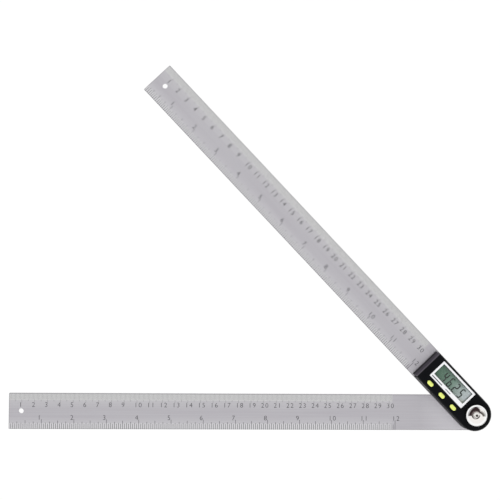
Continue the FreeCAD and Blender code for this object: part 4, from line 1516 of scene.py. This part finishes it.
def number(figure, along, across):
    """One number, read from the free end, centred at a place on the blade."""
    bpy.ops.object.text_add(location=metres(along, across, 0), rotation=(0, 0, math.pi))
    text = bpy.context.object
    text.data.body = str(figure)
    text.data.size = NUMERAL_HEIGHT / FONT_HEIGHT_SHARE * MM
    text.data.align_x = "CENTER"
    text.data.align_y = "CENTER"
    text.data.extrude = TICK_THICKNESS / 2 * MM
    text.data.space_character = FIGURE_SPACING
    text.data.offset = -STROKE_THINNING * MM
    text.data.resolution_u = 3
    bpy.ops.object.convert(target="MESH")
    return bpy.context.object


def number_row(count, pitch, across, one_digit, two_digits):
    """A row of numbers, each set off from its tick towards the pivot by so many millimetres."""
    row = []
    for figure in range(1, count + 1):
        beside = one_digit if len(str(figure)) == 1 else two_digits
        row.append(number(figure, BLADE_LENGTH - (pitch * figure + beside), across))
    return row


cm_numbers = number_row(30, 10.0, across=9.2 - BLADE_HALF, one_digit=-0.9, two_digits=0.9)
inch_numbers = number_row(12, INCH, across=BLADE_HALF - 8.8, one_digit=-1.7, two_digits=0.6)
print("height of a figure:", round(cm_numbers[0].dimensions.y / MM, 2), "mm")

# %% [markdown]
# ## Both scales
#
# Ticks and numbers become one piece, which is copied for the second blade.  Each is laid on its
# steel so that only a hair of it stands proud.  The black is etched, so it is not quite even.

# %% Both scales
SCALE_DARK = tone(40, 40, 43)
SCALE_WORN = tone(70, 70, 74)
base_scale = joined("base_scale", mm_ticks, inch_ticks, *cm_numbers, *inch_numbers)
bpy.ops.object.duplicate()
arm_scale = bpy.context.object
arm_scale.name = "arm_scale"

scale_black = Finish("black of the scales", Specular_IOR_Level=0.3, Roughness=0.5)
etched = scale_black.noise(scale_black.place(), scale=2.0, detail=3.0)
scale_black.varies(Base_Color=scale_black.blend(etched, SCALE_DARK, SCALE_WORN))
for piece, top, turn, body in ((base_scale, base_high.z, BASE_TURN, "base"),
                               (arm_scale, arm_high.z, ARM_TURN, "arm")):
    piece.location.z = (top + TICK_RISE - TICK_THICKNESS / 2) * MM
    settle(piece, turn)
    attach(piece, body)
    scale_black.dress(piece.name)

# %% [markdown]
# ## The floor
#
# The tool lies on a pale table.  For all other light the floor is plain pale paint, but for the
# eye, and in reflections, it is nearly all white light.  The little paint that is left in it keeps
# the faint shadow under the tool.  The Light Path node tells the two apart, and a Mix Shader
# between paint and light does the rest.

# %% The floor
TOOL_MIDDLE = Vector((-0.19, 0.13, 0.0))
FLOOR_SIZE = 6
FLOOR_DROP = 0.05
FLOOR_PAINT = (0.8, 0.8, 0.8, 1.0)
FLOOR_GLOW = 1.04
FLOOR_WHITE = 0.94
WHITE = (1.0, 1.0, 1.0, 1.0)
bpy.ops.mesh.primitive_plane_add(size=FLOOR_SIZE,
                                 location=TOOL_MIDDLE - Vector(metres(0, 0, FLOOR_DROP)))
floor = bpy.context.object
floor.name = "floor"
apply_place(floor)

pale = Finish("pale floor", Base_Color=FLOOR_PAINT, Roughness=0.9, Specular_IOR_Level=0.0)
looked_at = pale.node("LightPath", output="Is Camera Ray")
mirrored = pale.node("LightPath", output="Is Glossy Ray")
seen_through = pale.node("LightPath", output="Is Transmission Ray")
is_white = (looked_at + mirrored + seen_through) > 0.5
glow = pale.node("Emission", None, WHITE, FLOOR_GLOW)
paint = Field(pale, pale.surface.outputs["BSDF"])
mixed = pale.node("MixShader", None, is_white * FLOOR_WHITE, paint, glow)
pale.feed(pale.tree.nodes["Material Output"].inputs["Surface"], mixed)
pale.dress("floor")

# %% [markdown]
# ## The sky
#
# A bright even sky lights the tool, and chrome is only as lively as what it mirrors.  In an
# all-white room the dish of the knob would be a blank disc, so the sky that gloss sees has a dark
# stretch low on one side, as a studio has where a black screen stands.  It is painted by
# direction: the bearing along the horizon, and the height as the sine of the elevation.  Light on
# matt surfaces doesn't see it, so it throws no shade.

# %% The sky
SKY_LIGHT = 0.68
SCREEN_RIGHT = math.radians(-8)
SCREEN_CORNER = math.radians(-66)
SCREEN_TURNED = math.radians(-100)
SCREEN_LEFT = math.radians(-172)
SCREEN_EDGE = math.radians(2)
SCREEN_TOP = math.sin(math.radians(54))
SCREEN_TOP_LEFT = math.sin(math.radians(67))
SCREEN_TOP_BORDER = 0.02
SCREEN_FOOT = math.sin(math.radians(14))
SCREEN_FOOT_LEFT = math.sin(math.radians(45))
SCREEN_FADE = 0.14
SCREEN_DARK = tone(56, 44, 46)
SCREEN_GREY = tone(118, 116, 110)


class Sky(Finish):
    """The world, with the same helpers as a finish."""

    def __init__(self, name):
        self.world = bpy.data.worlds.new(name)
        self.world.use_nodes = True
        self.tree = self.world.node_tree
        self.surface = self.tree.nodes["Background"]


def studio_sky():
    sky = Sky("studio")
    x, y, height = sky.axes(sky.node("TexCoord", output="Object"))
    bearing = x.maths("ARCTAN2", y, x)
    top = bearing.ramp(SCREEN_CORNER, SCREEN_TURNED, SCREEN_TOP, SCREEN_TOP_LEFT)
    foot = bearing.ramp(SCREEN_CORNER, SCREEN_TURNED, SCREEN_FOOT, SCREEN_FOOT_LEFT)
    between_sides = bearing.between(SCREEN_LEFT + SCREEN_EDGE, SCREEN_RIGHT - SCREEN_EDGE,
                                    SCREEN_EDGE)
    below_top = (top - height).ramp(0.0, SCREEN_TOP_BORDER)
    above_foot = (height - foot).ramp(0.0, SCREEN_FADE)
    screen = between_sides * below_top * above_foot
    ink = sky.blend(bearing.ramp(SCREEN_TURNED, SCREEN_LEFT), SCREEN_DARK, SCREEN_GREY)
    mirrored = sky.node("LightPath", output="Is Glossy Ray")
    seen = sky.node("LightPath", output="Is Camera Ray") + mirrored
    sky.varies(Color=sky.blend(screen * mirrored, WHITE, ink),
               Strength=seen.ramp(0.0, 1.0, SKY_LIGHT, 1.0))
    return sky.world


bpy.context.scene.world = studio_sky()
print("sky:", SKY_LIGHT, "of white as light, all white to the eye")

# %% [markdown]
# ## The lamp
#
# One very large soft lamp stands beside the tool and models its edges.  A lamp this large would
# show in the chrome as a white card, so gloss doesn't see it.

# %% The lamp
LAMP_PLACE = Vector((-1.9, -3.8, 3.0))
LAMP_WIDTH = 7.0
LAMP_HEIGHT = 5.0
LAMP_POWER = 192
lamp_data = bpy.data.lights.new("soft lamp", "AREA")
lamp_data.shape = "RECTANGLE"
lamp_data.size = LAMP_WIDTH
lamp_data.size_y = LAMP_HEIGHT
lamp_data.energy = LAMP_POWER
lamp = bpy.data.objects.new("soft lamp", lamp_data)
lamp.location = LAMP_PLACE
lamp.rotation_euler = (TOOL_MIDDLE - LAMP_PLACE).to_track_quat("-Z", "Y").to_euler()
lamp.visible_glossy = False
bpy.context.scene.collection.objects.link(lamp)
print("lamp:", LAMP_POWER, "W,", round((TOOL_MIDDLE - LAMP_PLACE).length, 2), "m from the tool")

# %% [markdown]
# ## The camera
#
# The camera looks down from about arm's length, almost square to the table, as one would look at a
# tool on a bench.  Its focal length is given in pixels of the render, and Blender wants it in
# millimetres on the sensor.

# %% The camera
FOCAL_PIXELS = 813.46
RENDER_PIXELS = 500
SENSOR = 36.0
CAMERA_PLACE = (-0.197637, 0.114097, 0.647649)
CAMERA_TURN = (0.02128, -0.030767, 0.00878)
NEAREST_SEEN = 0.01
camera_data = bpy.data.cameras.new("camera")
camera_data.sensor_width = SENSOR
camera_data.lens = SENSOR * FOCAL_PIXELS / RENDER_PIXELS
camera_data.clip_start = NEAREST_SEEN
camera = bpy.data.objects.new("camera", camera_data)
camera.location = CAMERA_PLACE
camera.rotation_euler = CAMERA_TURN
bpy.context.scene.collection.objects.link(camera)
bpy.context.scene.camera = camera
bpy.context.scene.view_settings.view_transform = "Standard"
print("lens:", round(camera_data.lens, 1), "mm")

# %% [markdown]
# ## The end
#
# Last, the view layer is brought up to date with all the steps above.

# %% The end
bpy.context.view_layer.update()
